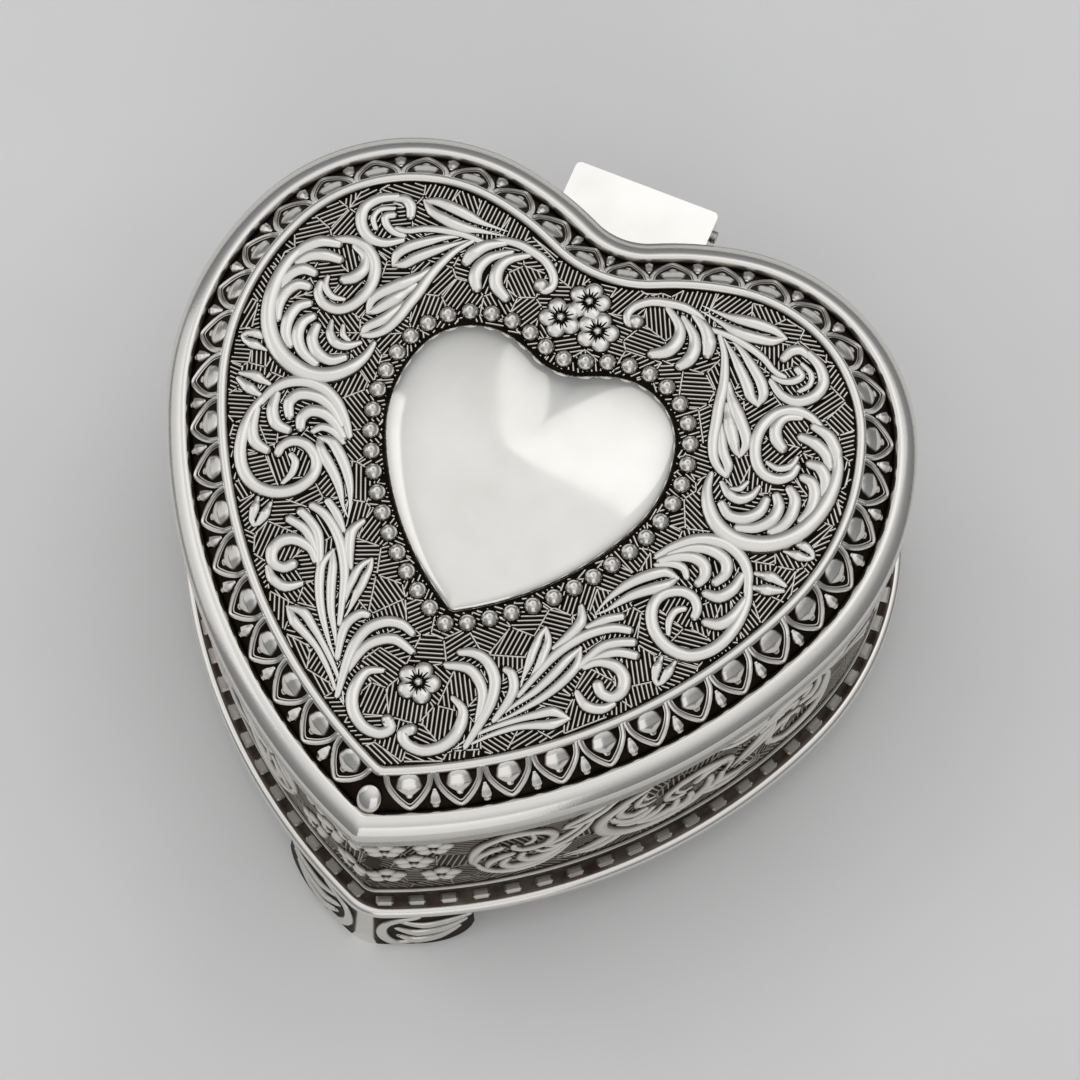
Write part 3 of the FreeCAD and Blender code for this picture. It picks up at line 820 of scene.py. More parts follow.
def inside_ring(ring: Sequence[Vector], x: float, y: float) -> bool:
    """True where a point of the plan lies inside a closed ring."""
    inside = False
    before = ring[-1]
    for point in ring:
        if (point.y > y) != (before.y > y):
            cross = before.x + (y - before.y) * (point.x - before.x) / (point.y - before.y)
            if x < cross:
                inside = not inside
        before = point
    return inside


@dataclass(frozen=True)
class HatchedGround:
    """Patches of fine parallel ridges that meet at odd angles, edged by a ridge where they meet."""

    pitch: float = 0.62
    half_width: float = 0.19
    patch: float = 4.4
    jitter_share: float = 0.38
    step: float = 0.3
    seed: int = 7
    seam_reach: float = 2.2
    line_reach: float = 1.2
    least_steps: int = 2

    def strokes(self, low: Plan, high: Plan, inside: Callable[[float, float], bool]) -> list[Stroke]:
        """Hatch a region of the plan.

        Args:
            low: lowest corner of the region's box.
            high: highest corner of it.
            inside: tells whether a point is in the region.

        Returns:
            The straight ridges.
        """
        dice = random.Random(self.seed)
        seeds = []
        x = low[0]
        while x < high[0] + self.patch:
            y = low[1]
            while y < high[1] + self.patch:
                swing = self.patch * self.jitter_share
                seeds.append(Vector((x + dice.uniform(-swing, swing), y + dice.uniform(-swing, swing), 0)))
                y += self.patch
            x += self.patch
        tree = kdtree.KDTree(len(seeds))
        for index, seed in enumerate(seeds):
            tree.insert(seed, index)
        tree.balance()
        found = []
        for index, seed in enumerate(seeds):
            found += self.patch_lines(tree, index, seed, dice.uniform(0, math.pi), inside)
        found += self.seam_lines(tree, seeds, inside)
        return found

    def patch_lines(self, tree: kdtree.KDTree, index: int, seed: Vector, angle: float,
                    inside: Callable[[float, float], bool]) -> list[Stroke]:
        """Parallel ridges of one patch, cut off at its neighbours.

        Args:
            tree: middles of all patches.
            index: number of this patch.
            seed: its middle.
            angle: direction of its ridges.
            inside: tells whether a point is in the hatched region.

        Returns:
            The straight ridges.
        """
        along = Vector((math.cos(angle), math.sin(angle), 0))
        across = Vector((-along.y, along.x, 0))
        rows = int(self.patch / self.pitch)

        def own(place: Vector) -> bool:
            return tree.find(place)[1] == index and inside(place.x, place.y)

        lines = []
        for row in range(-rows, rows + 1):
            lines += self.runs(seed + across * (row * self.pitch), along, own)
        return lines

    def seam_lines(self, tree: kdtree.KDTree, seeds: Sequence[Vector],
                   inside: Callable[[float, float], bool]) -> list[Stroke]:
        """Ridges along the lines where two patches meet.

        Args:
            tree: middles of all patches.
            seeds: the same middles by number.
            inside: tells whether a point is in the hatched region.

        Returns:
            The straight ridges.
        """
        lines = []
        for first, seed in enumerate(seeds):
            for _, second, _ in tree.find_range(seed, self.patch * self.seam_reach):
                if second <= first:
                    continue
                apart = seeds[second] - seed
                along = Vector((-apart.y, apart.x, 0)).normalized()
                pair = {first, second}

                def between(place: Vector) -> bool:
                    nearest = {item[1] for item in tree.find_n(place, 2)}
                    return nearest == pair and inside(place.x, place.y)

                lines += self.runs(seed + apart / 2, along, between)
        return lines

    def runs(self, start: Vector, along: Vector, keep: Callable[[Vector], bool]) -> list[Stroke]:
        """Stretches of a straight line where a test holds.

        Args:
            start: middle of the line.
            along: its direction.
            keep: test of a point.

        Returns:
            One straight stroke for each stretch.
        """
        reach = int(self.patch * self.line_reach / self.step)
        lines = []
        first = None
        last = None
        for count in range(-reach, reach + 2):
            place = start + along * (count * self.step)
            if count <= reach and keep(place):
                first = first or place
                last = place
            elif first is not None:
                if (last - first).length > self.least_steps * self.step:
                    ends = ((first.x, first.y), (last.x, last.y))
                    lines.append(Stroke((self.half_width, self.half_width), ends))
                first = None
        return lines


# Half widths along a ridge, from its root to its end
LOBE = (0.45, 1.0, 1.2, 0.85)
FEATHER = (0.7, 1.0, 1.05, 0.75)
LEAF_EDGE = (0.4, 0.82, 0.9, 0.72, 0.35)
STEM = (0.45, 0.6, 0.65, 0.5)
CURL = (0.5, 0.95, 1.05, 0.9, 0.9)
SPINE = (0.7, 1.15, 1.35, 1.45, 1.25, 0.45)
FINE = (0.3, 0.55, 0.35)

# Scrollwork of the left half of the lid, on a plan with its origin in the middle of the field
CLEFT_CURL = (
    ridge((0.35, 0.75, 0.8, 0.75, 0.7, 0.95), (-16.7, 37.0), (-15.0, 38.4), (-12.6, 38.9), (-10.2, 38.6),
          (-7.9, 37.9), (-6.2, 36.5), (-5.6, 35.0), (-6.2, 33.9), (-7.0, 34.1)),
    ridge(LOBE, (-10.4, 37.9), (-12.8, 36.1), (-13.5, 34.0), (-12.8, 31.9), (-11.0, 30.75)),
    ridge(LOBE, (-12.9, 37.4), (-15.2, 35.5), (-16.1, 33.4), (-15.9, 31.7), (-15.2, 30.6)),
    ridge(LOBE, (-13.9, 38.5), (-16.3, 37.0), (-17.6, 35.2), (-18.0, 33.7)),
)
TOP_LEAF = leaf(
    ((-27.0, 40.0), (-24.5, 40.8), (-21.4, 40.6), (-18.3, 39.9), (-14.7, 39.8)),
    ((-27.0, 40.0), (-25.6, 38.8), (-22.9, 37.9), (-20.2, 38.1), (-17.6, 39.0), (-14.7, 39.65)),
)
SMALL_SCROLL = (
    ridge((0.7, 0.95, 1.0, 0.95, 0.5), (-30.8, 39.0), (-33.0, 37.75), (-34.3, 35.7), (-33.8, 33.4),
          (-31.9, 31.8), (-29.6, 31.9), (-27.5, 33.3)),
    ridge((0.5, 0.85, 0.9, 0.7), (-31.1, 38.6), (-29.7, 39.1), (-28.5, 38.5), (-27.9, 37.1)),
    ridge((0.35, 0.55, 0.4), (-30.5, 37.3), (-32.2, 36.4), (-32.6, 34.8), (-31.6, 33.4)),
    ridge((0.4, 0.65, 0.7, 0.6), (-27.5, 34.0), (-29.0, 33.9), (-30.4, 34.5), (-31.1, 35.6), (-30.2, 36.3)),
    ridge(STEM, (-29.0, 34.6), (-27.3, 34.9), (-25.4, 36.0), (-22.9, 36.8), (-20.0, 37.3), (-17.3, 37.3)),
)
SECOND_LEAF = leaf(
    ((-27.2, 29.3), (-27.5, 30.9), (-26.5, 32.9), (-24.3, 34.5), (-21.9, 36.1), (-19.3, 37.1)),
    ((-27.2, 29.3), (-25.6, 30.0), (-24.2, 31.7), (-22.3, 33.8), (-20.5, 35.8), (-19.0, 37.1)),
)
LONG_LEAF = (
    ridge((0.4, 0.65, 0.85, 0.95, 0.9, 0.75, 0.5), (-18.5, 36.9), (-20.0, 34.8), (-21.0, 32.5), (-21.8, 30.0),
          (-22.3, 27.1), (-22.9, 24.6), (-23.5, 22.0), (-24.4, 19.9), (-25.7, 18.6), (-26.9, 18.1)),
    *leaf(((-27.6, 21.4), (-27.9, 23.0), (-27.3, 25.0), (-25.4, 27.1), (-23.3, 29.3), (-21.9, 31.5)),
          ((-27.6, 21.4), (-26.2, 22.4), (-24.8, 24.5), (-23.5, 27.0))),
    ridge(LEAF_EDGE, (-27.1, 18.1), (-26.7, 19.5), (-25.4, 21.0), (-24.2, 23.3), (-23.3, 25.2)),
)
GREAT_SCROLL = (
    ridge((0.55, 0.9, 1.0, 0.95, 0.9, 0.65), (-37.0, 29.1), (-34.7, 30.4), (-32.2, 30.5), (-30.0, 29.1),
          (-28.9, 26.7), (-28.9, 24.2), (-29.9, 21.7), (-31.6, 20.2), (-33.7, 20.2), (-35.1, 21.4),
          (-35.4, 22.9)),
    ridge((0.4, 0.6, 0.6, 0.35), (-34.9, 24.2), (-34.6, 22.75), (-33.1, 21.7), (-31.4, 22.0)),
    ridge((0.5, 0.9, 1.15, 0.9), (-33.3, 29.9), (-31.3, 29.0), (-30.7, 27.1), (-31.4, 25.5),
          (-32.5, 24.7)),
    ridge(SPINE, (-39.8, 26.9), (-40.7, 24.8), (-41.1, 22.1), (-41.0, 19.2), (-40.3, 16.3), (-38.9, 13.6),
          (-36.8, 11.5), (-34.1, 10.2), (-31.2, 9.9), (-28.5, 10.9), (-26.4, 13.0), (-25.3, 15.3),
          (-25.0, 17.5)),
    ridge(FEATHER, (-40.2, 25.7), (-39.5, 27.1), (-37.8, 28.7), (-35.5, 29.3)),
    ridge(FEATHER, (-39.5, 24.6), (-38.4, 26.1), (-36.5, 27.0), (-34.4, 27.2)),
    ridge(FEATHER, (-40.1, 20.5), (-39.8, 22.5), (-38.5, 23.9), (-36.9, 24.0)),
    ridge(FEATHER, (-38.8, 15.8), (-39.4, 17.8), (-39.2, 20.0), (-38.2, 21.5), (-36.8, 21.8)),
    ridge(FEATHER, (-35.6, 12.8), (-36.8, 14.2), (-37.3, 16.3), (-36.9, 18.4), (-35.7, 19.5)),
    ridge(FEATHER, (-31.2, 11.6), (-33.5, 12.5), (-35.1, 14.4), (-35.3, 16.5), (-34.4, 17.9)),
    ridge(FEATHER, (-27.9, 14.0), (-29.5, 12.8), (-31.6, 13.2), (-33.1, 14.8), (-33.3, 16.8)),
    ridge(LEAF_EDGE, (-26.8, 16.9), (-28.3, 15.7), (-29.9, 15.5), (-31.2, 16.6), (-31.7, 18.3)),
    ridge(FINE, (-28.3, 16.6), (-29.4, 17.0), (-30.0, 18.3)),
)
BORDER_LEAVES = (
    *leaf(((-42.2, 11.6), (-40.8, 12.7), (-38.8, 12.5)),
          ((-42.2, 11.6), (-40.6, 10.9), (-38.2, 10.9))),
    *leaf(((-40.2, 6.1), (-38.3, 7.0), (-35.8, 6.8)),
          ((-40.2, 5.9), (-38.4, 4.6), (-36.1, 4.1))),
    *leaf(((-29.5, -13.2), (-30.2, -11.7), (-30.8, -9.3)),
          ((-29.5, -13.2), (-28.6, -11.5), (-28.4, -9.4))),
)
SECOND_SCROLL = (
    ridge((0.6, 0.95, 1.05, 1.05, 0.95, 0.9, 0.7), (-35.5, 5.0), (-36.3, 2.5), (-36.4, 0.0), (-36.1, -2.1),
          (-35.4, -4.4), (-34.0, -6.5), (-31.8, -7.9), (-29.0, -7.9), (-26.6, -6.6), (-25.2, -4.6),
          (-24.9, -2.6), (-25.7, -0.9), (-27.6, 0.2), (-29.4, 0.0), (-30.5, -1.2), (-30.6, -2.4)),
    ridge((0.35, 0.6, 0.65, 0.5), (-28.3, -6.1), (-27.7, -4.4), (-27.9, -2.7), (-28.9, -1.9)),
    ridge(FEATHER, (-36.0, 2.4), (-35.4, -0.4), (-34.1, -2.2), (-32.3, -2.6)),
    ridge(FEATHER, (-34.3, 5.4), (-33.9, 3.1), (-32.6, 1.4), (-30.8, 1.2)),
    ridge((0.6, 0.95, 1.05, 0.95, 0.5), (-35.8, 3.6), (-35.2, 5.6), (-33.7, 7.5), (-31.2, 8.7),
          (-28.5, 8.6), (-26.2, 7.5), (-24.1, 5.6), (-22.6, 3.6)),
    ridge(FEATHER, (-24.3, 4.6), (-26.6, 6.5), (-29.0, 7.2), (-31.4, 6.6), (-32.2, 4.9), (-31.4, 3.2)),
    ridge(FEATHER, (-23.4, 3.2), (-25.2, 4.6), (-27.2, 5.3), (-29.0, 4.9), (-29.7, 3.5), (-29.3, 2.2)),
    ridge((0.4, 0.7, 0.7, 0.5), (-23.0, 2.4), (-24.9, 3.4), (-26.6, 3.4), (-27.5, 2.4)),
    *leaf(((-26.4, 1.8), (-24.7, 2.2), (-22.7, 1.0), (-20.8, -1.0), (-19.4, -3.6), (-18.1, -7.3)),
          ((-26.4, 1.8), (-25.3, -0.3), (-23.3, -1.7), (-21.4, -3.3), (-19.8, -5.2), (-18.1, -7.3))),
)
SPRAY = (
    *leaf(((-20.4, -22.2), (-18.5, -21.7), (-16.7, -23.0), (-15.0, -24.5), (-12.7, -26.5),
           (-10.2, -29.0), (-7.9, -32.0)),
          ((-20.4, -22.2), (-18.6, -24.2), (-16.3, -24.9), (-14.4, -25.8), (-11.9, -27.8), (-7.9, -32.0))),
    *leaf(((-18.1, -12.5), (-18.7, -14.6), (-18.1, -17.1), (-16.8, -19.8), (-14.8, -22.5),
           (-12.7, -25.0), (-11.25, -26.7)),
          ((-18.1, -12.5), (-16.9, -15.0), (-15.9, -18.0), (-14.9, -20.5), (-13.3, -23.2), (-11.5, -26.3))),
    ridge((0.7, 0.8, 0.85, 0.85, 0.65, 0.4), (-23.2, -7.6), (-21.2, -8.1), (-19.0, -9.6), (-17.1, -11.7),
          (-15.4, -14.6), (-14.2, -18.0), (-13.1, -21.6)),
    ridge((0.65, 0.75, 0.45), (-21.5, -6.2), (-19.6, -7.5), (-17.9, -9.3)),
    ridge((0.5, 0.9, 0.85, 0.45), (-16.0, -7.0), (-16.8, -9.0), (-16.0, -11.7), (-14.9, -13.8)),
    *leaf(((-12.75, -11.6), (-13.9, -13.6), (-14.0, -16.7), (-13.1, -20.3)),
          ((-12.75, -11.6), (-12.4, -14.8), (-12.8, -18.6), (-13.0, -20.5))),
    ridge((0.5, 0.75, 0.8, 0.75), (-18.3, -16.3), (-19.6, -13.4), (-20.8, -11.1), (-22.5, -9.8),
          (-24.3, -9.0)),
    ridge((0.5, 0.75, 0.8, 0.75), (-20.1, -13.6), (-21.7, -11.9), (-23.2, -11.0), (-25.3, -10.6)),
    ridge(CURL, (-19.6, -14.8), (-21.0, -13.4), (-23.3, -13.0), (-25.0, -13.9), (-25.6, -15.7),
          (-24.8, -17.2), (-23.2, -17.3), (-22.3, -16.4)),
    ridge((0.5, 0.85, 0.9, 0.5), (-25.2, -18.0), (-24.0, -19.3), (-21.9, -19.7), (-20.1, -18.4)),
)
TIP_GROUP = (
    ridge((0.45, 0.85, 0.95, 0.95, 0.9, 0.6), (-9.3, -31.0), (-9.9, -26.7), (-10.0, -23.5), (-9.2, -20.8),
          (-7.3, -19.0), (-5.2, -18.6), (-3.5, -19.2)),
    ridge((0.45, 0.8, 0.9, 0.9, 0.6), (-9.4, -27.3), (-8.7, -23.7), (-7.2, -21.8), (-5.2, -20.9),
          (-2.5, -21.6)),
    ridge((0.45, 0.8, 0.85, 0.6), (-11.4, -26.2), (-12.1, -23.2), (-12.1, -21.1), (-11.1, -19.4),
          (-10.1, -19.1)),
    ridge((0.45, 0.95, 1.05, 0.95, 0.9, 0.95), (-5.1, -25.5), (-6.9, -26.4), (-7.5, -28.2), (-7.4, -30.3),
          (-6.4, -32.3), (-4.3, -33.8), (-2.0, -33.8), (-0.9, -32.7), (-1.6, -31.8)),
)
LID_GROUPS = (
    CLEFT_CURL, TOP_LEAF, SMALL_SCROLL, SECOND_LEAF, LONG_LEAF, GREAT_SCROLL, BORDER_LEAVES, SECOND_SCROLL,
    SPRAY, TIP_GROUP,
)
CURL_ENDS = (Ball(-7.1, 34.3, 1.2, 1.05), Ball(-1.75, -31.7, 0.95, 0.85))
FLOWER_PLACES: tuple[Plan, ...] = ((0.0, 34.6), (-2.75, 30.9), (2.75, 30.9), (0.0, -25.25))


@dataclass(frozen=True)
class Flower:
    """Five round petals, notched towards a ball in the middle."""

    petals: int = 5
    petal_distance: float = 1.75
    petal_radius: float = 1.4
    petal_height: float = 0.75
    heart_radius: float = 0.75
    heart_height: float = 1.0
    notch_swing: float = 0.36
    notch_height: float = 0.62
    notch_widths: tuple[float, float] = (0.16, 0.1)

    def balls(self, x: float, y: float, turn: float) -> list[Ball]:
        """Petals and middle of a flower.

        Args:
            x: place across the plan.
            y: place along the plan.
            turn: angle of the first petal.

        Returns:
            The bosses.
        """
        found = [Ball(x, y, self.heart_radius, self.heart_height)]
        for count in range(self.petals):
            angle = turn + 2 * math.pi * count / self.petals
            far = self.petal_distance
            place = (x + far * math.cos(angle), y + far * math.sin(angle))
            found.append(Ball(*place, self.petal_radius, self.petal_height))
        return found

    def notches(self, x: float, y: float, turn: float) -> list[Stroke]:
        """Dark notches of each petal, that reach out from the middle.

        Args:
            x: place of the flower across the plan.
            y: place of it along the plan.
            turn: angle of the first petal.

        Returns:
            Three short ridges for each petal.
        """
        found = []
        near = self.heart_radius
        far = self.petal_distance
        for count in range(self.petals):
            for swing in (-self.notch_swing, 0.0, self.notch_swing):
                angle = turn + 2 * math.pi * count / self.petals + swing
                along = (math.cos(angle), math.sin(angle))
                line = tuple((x + reach * along[0], y + reach * along[1]) for reach in (near, far))
                found.append(Stroke(self.notch_widths, line))
        return found


# Outlines of one tongue of the border: half width, then shares of half the pitch with distances outwards
TONGUE_OUTLINES = (
    (0.36, ((0.93, -0.2), (0.86, 1.2), (0.62, 2.7), (0.32, 3.9), (0.0, 4.7))),
    (0.12, ((0.8, -0.2), (0.73, 1.2), (0.5, 2.5), (0.24, 3.5), (0.0, 4.1))),
)
# Egg in a tongue and drop between two: distances outwards and half widths
EGG = ((1.3, 1.85), (1.5, 1.9), (1.75, 1.8), (2.0, 1.58), (2.25, 1.3), (2.5, 0.95), (2.75, 0.55))
DROP = ((2.3, 0.345), (3.0, 0.7475), (3.7, 0.92), (4.3, 0.575))


@dataclass
class Lid:
    """Cast lid: skirt, polished band, rim, tongue border, bead line, scrollwork, flowers and ground."""

    outline: HeartOutline
    wardrobe: Wardrobe
    foot: float
    field_height: float
    plan_y: float
    outset: float = 2.2
    skirt: float = 4.8
    band_rise: float = 1.1
    edge_width: float = 2.6
    cavity_upright: float = 2.6
    thickness: float = 1.7
    crest_width: float = 0.5
    groove_inset: float = 1.2
    groove_drop: float = 0.7
    bead_inset: float = 5.8
    bead_width: float = 1.5
    bead_height: float = 0.7
    bead_steps: int = 8
    bead_shade: tuple[float, float] = (0.1, 0.75)
    border_shares: tuple[float, ...] = (0.12, 0.5, 0.9)
    border_tone: float = 0.06
    tip_radius: float = 1.6
    rounding: float = 0.2
    # Reach and height share of the dark fillets at the scrolls' feet: patina and painted shade
    fillet: float = 0.34
    fillet_share: float = 0.24
    tongues_per_half: int = 21
    tongue_end: float = 0.14
    tip_drop: tuple[float, float] = (1.75, 0.8)
    tip_drop_out: float = 3.5
    tip_drop_stretch: float = 1.25
    side_flower_turn: float = 0.3
    ground_from_bead: float = 0.85
    ground_from_plaque: float = 0.35
    hatch: HatchedGround = HatchedGround()
    flower: Flower = Flower()

    @property
    def band_foot(self) -> float:
        """Height where the skirt ends and the sloping band starts."""
        return self.foot + self.skirt

    @property
    def rim_top(self) -> float:
        """Height of the rim's crest."""
        return self.band_foot + self.band_rise

    @property
    def groove_bottom(self) -> float:
        """Height of the bottom of the groove inside the rim."""
        return self.rim_top - self.groove_drop

    @property
    def border_inset(self) -> float:
        """Inset where the rising border meets the bead line."""
        return self.bead_inset - self.bead_width / 2

    def shell_levels(self) -> list[Level]:
        """Profile of the lid, from its ceiling round the foot and over the rim to the field."""
        soft = self.rounding
        inner = self.edge_width - self.outset
        ceiling = self.field_height - self.thickness
        levels = [
            Level(self.bead_inset, ceiling, 0.6),
            Level(inner, self.foot + self.cavity_upright, 0.6),
            Level(inner, self.foot + soft, 0.8),
            Level(inner - soft, self.foot, 0.9),
            Level(soft - self.outset, self.foot, 0.9),
            Level(-self.outset, self.foot + soft),
            Level(-self.outset, self.band_foot - soft),
            Level(soft / 2 - self.outset, self.band_foot + soft / 4),
            Level(-soft, self.rim_top - soft / 4),
            Level(soft / 2, self.rim_top),
            Level(self.crest_width, self.rim_top),
            Level(self.crest_width + soft, self.rim_top - soft, 0.7),
            Level(self.groove_inset, self.groove_bottom, 0.0),
        ]
        slope = self.field_height - self.groove_bottom
        run = self.border_inset - self.groove_inset
        for share in self.border_shares:
            height = self.groove_bottom + slope * share
            levels.append(Level(self.groove_inset + run * share, height, self.border_tone))
        for count in range(self.bead_steps + 1):
            angle = math.pi * count / self.bead_steps
            inset = self.bead_inset - self.bead_width / 2 * math.cos(angle)
            lift = math.sin(angle)
            height = self.field_height + self.bead_height * lift
            levels.append(Level(inset, height, smooth_step(*self.bead_shade, lift)))
        levels.append(Level(self.bead_inset + self.bead_width, self.field_height, 0.0))
        return levels

    def build_shell(self) -> None:
        """Model the lid's body."""
        bm = loft_levels(self.outline, self.shell_levels(), self.tip_radius, capped=True)
        self.wardrobe.make_piece(
            "lid_casting", bm, Body.LID, stands_for=["lid_shell"], sharp_degrees=CASTING_DEGREES
        )

    def on_field(self, point: Vector) -> Vector:
        """Place of a point of the scrollwork's plan."""
        return Vector((point.x, point.y + self.plan_y, point.z + self.field_height)) * MM

    def on_petals(self, point: Vector) -> Vector:
        """Place of a point of the sheet that lies on the flowers' petals."""
        return self.on_field(point + Vector((0, 0, self.flower.notch_height)))

    def on_border(self, path: OutlinePath, bent: bool = True) -> Surface:
        """Surface of the rising border, for sheets with length along X and distance outwards along Y.

        Args:
            path: outline along the foot of the bead line.
            bent: whether the sheet follows the outline, or lies flat in the corner at the tip.

        Returns:
            The function that puts a sheet on the border.
        """
        slope = self.field_height - self.groove_bottom
        run = self.border_inset - self.groove_inset
        tip, down = path.at(path.half)
        if not bent:
            groove = self.outline.path(self.groove_inset, self.tip_radius)
            run = (groove.at(groove.half)[0] - tip).length
        long_side = math.hypot(slope, run)

        def place(point: Vector) -> Vector:
            base, outward = path.at(point.x) if bent else (tip - Vector((point.x, 0, 0)), down)
            out = point.y * run / long_side + point.z * slope / long_side
            drop = point.z * run / long_side - point.y * slope / long_side
            return (base + outward * out + Vector((0, 0, self.field_height + drop))) * MM

        return place

    def cast(self, name: str, relief: FlatRelief, surface: Surface) -> None:
        """Set a relief on a surface of the lid."""
        relief.cast(name, self.wardrobe, Body.LID, surface)

    def build_scrollwork(self) -> None:
        """Model the scrolls and leaves of both halves."""
        left = [stroke for group in LID_GROUPS for stroke in group]
        for name, side in (("left", 1), ("right", -1)):
            strokes = [stroke.mirrored(side) for stroke in left]
            relief = FlatRelief()
            relief.add_ridges(strokes)
            relief.add_balls([end.mirrored(side) for end in CURL_ENDS])
            self.cast("lid_scrolls_" + name, relief, self.on_field)
            # Dark fillets along each ridge's foot: patina, and painted shade that outlines the ridge
            fillet = FlatRelief(height_share=self.fillet_share, crest=0.0)
            fillet.add_ridges([stroke.widened(self.fillet) for stroke in strokes], sides=1)
            self.cast("lid_scroll_patina_shade_fillets_" + name, fillet, self.on_field)

    def build_flowers(self) -> None:
        """Model the three flowers at the cleft and the one at the tip."""
        relief = FlatRelief()
        notches = FlatRelief(crest=0.0)
        petals = []
        for x, y in FLOWER_PLACES:
            turn = math.pi / 2 if x == 0 else math.copysign(self.side_flower_turn, x)
            petals += self.flower.balls(x, y, turn)
            notches.add_ridges(self.flower.notches(x, y, turn), sides=1, steps=2)
        relief.add_balls(petals)
        self.cast("lid_flowers", relief, self.on_field)
        self.cast("lid_flower_notches", notches, self.on_petals)
        # Dark rings round the petals' feet: patina and painted shade
        self.cast("lid_flower_patina_shade_fillets", patina_and_shade_fillets(petals), self.on_field)

    def build_ground(self, plaque: HeartOutline) -> None:
        """Hatch the field between the bead line and the plaque.

        Args:
            plaque: outline of the plaque.
        """
        lift = Vector((0, self.plan_y, 0))
        from_rim = self.bead_inset + self.ground_from_bead
        outer = [point - lift for point in self.outline.ring(from_rim, self.tip_radius, 0)]
        inner = [point - lift for point in plaque.ring(-self.ground_from_plaque, self.tip_radius, 0)]

        def inside(x: float, y: float) -> bool:
            return inside_ring(outer, x, y) and not inside_ring(inner, x, y)

        low = (min(point.x for point in outer), min(point.y for point in outer))
        high = (max(point.x for point in outer), max(point.y for point in outer))
        relief = hatched_relief(bright_slope=0.9, crest=0.88)
        relief.add_hatching(self.hatch.strokes(low, high, inside))
        self.cast("lid_hatching", relief, self.on_field)

    def build_border(self) -> None:
        """Model the ring of tongues, each outlined twice round an egg, with a drop between two."""
        path = self.outline.path(self.border_inset, self.tip_radius)
        pitch = path.half / (self.tongues_per_half + self.tongue_end)
        strokes = [self.outwards(0.0, DROP)]
        eggs = []
        for count in range(self.tongues_per_half):
            middle = pitch * (count + 0.5)
            for centre in (middle, -middle):
                strokes += self.tongue(centre, pitch)
                eggs.append(self.outwards(centre, EGG))
                if count < self.tongues_per_half - 1:
                    strokes.append(self.outwards(centre + math.copysign(pitch / 2, centre), DROP))
        outlines = FlatRelief(height_share=0.95, dark_slope=0.0, bright_slope=0.7)
        outlines.add_ridges(strokes, sides=2, steps=3)
        self.cast("lid_tongues", outlines, self.on_border(path))
        filling = FlatRelief(height_share=0.19, dark_slope=0.3, bright_slope=0.85)
        filling.add_ridges(eggs, sides=2, steps=3)
        self.cast("lid_eggs", filling, self.on_border(path))
        corner = FlatRelief(dark_slope=0.1, bright_slope=0.85)
        corner.add_balls([Ball(0.0, 0.0, *self.tip_drop)], segments=24)
        stretch = Matrix.Translation((0, self.tip_drop_out, 0))
        stretch @= Matrix.Diagonal((1, self.tip_drop_stretch, 1, 1))
        bmesh.ops.transform(corner.bm, matrix=stretch, verts=corner.bm.verts)
        self.cast("lid_tip_drop", corner, self.on_border(path, bent=False))

    @staticmethod
    def tongue(middle: float, pitch: float) -> list[Stroke]:
        """One pointed tongue of the border.

        Args:
            middle: its place along the border.
            pitch: distance between two tongues.

        Returns:
            Its outer and inner outlines.
        """
        half = pitch / 2
        strokes = []
        for width, shares in TONGUE_OUTLINES:
            right = [(middle + across * half, out) for across, out in shares]
            left = [(middle - across * half, out) for across, out in shares[:-1]]
            strokes.append(Stroke((width, width), (*right, *reversed(left))))
        return strokes

    @staticmethod
    def outwards(middle: float, sizes: Sequence[Plan]) -> Stroke:
        """Stroke straight out across the border, of distances and half widths."""
        return Stroke(tuple(width for _, width in sizes), tuple((middle, out) for out, _ in sizes))

    def build(self, plaque: HeartOutline) -> None:
        """Model the whole lid, with its carving.

        Args:
            plaque: outline of the plaque that stands on it.
        """
        self.build_shell()
        self.build_border()
        self.build_scrollwork()
        self.build_flowers()
        self.build_ground(plaque)


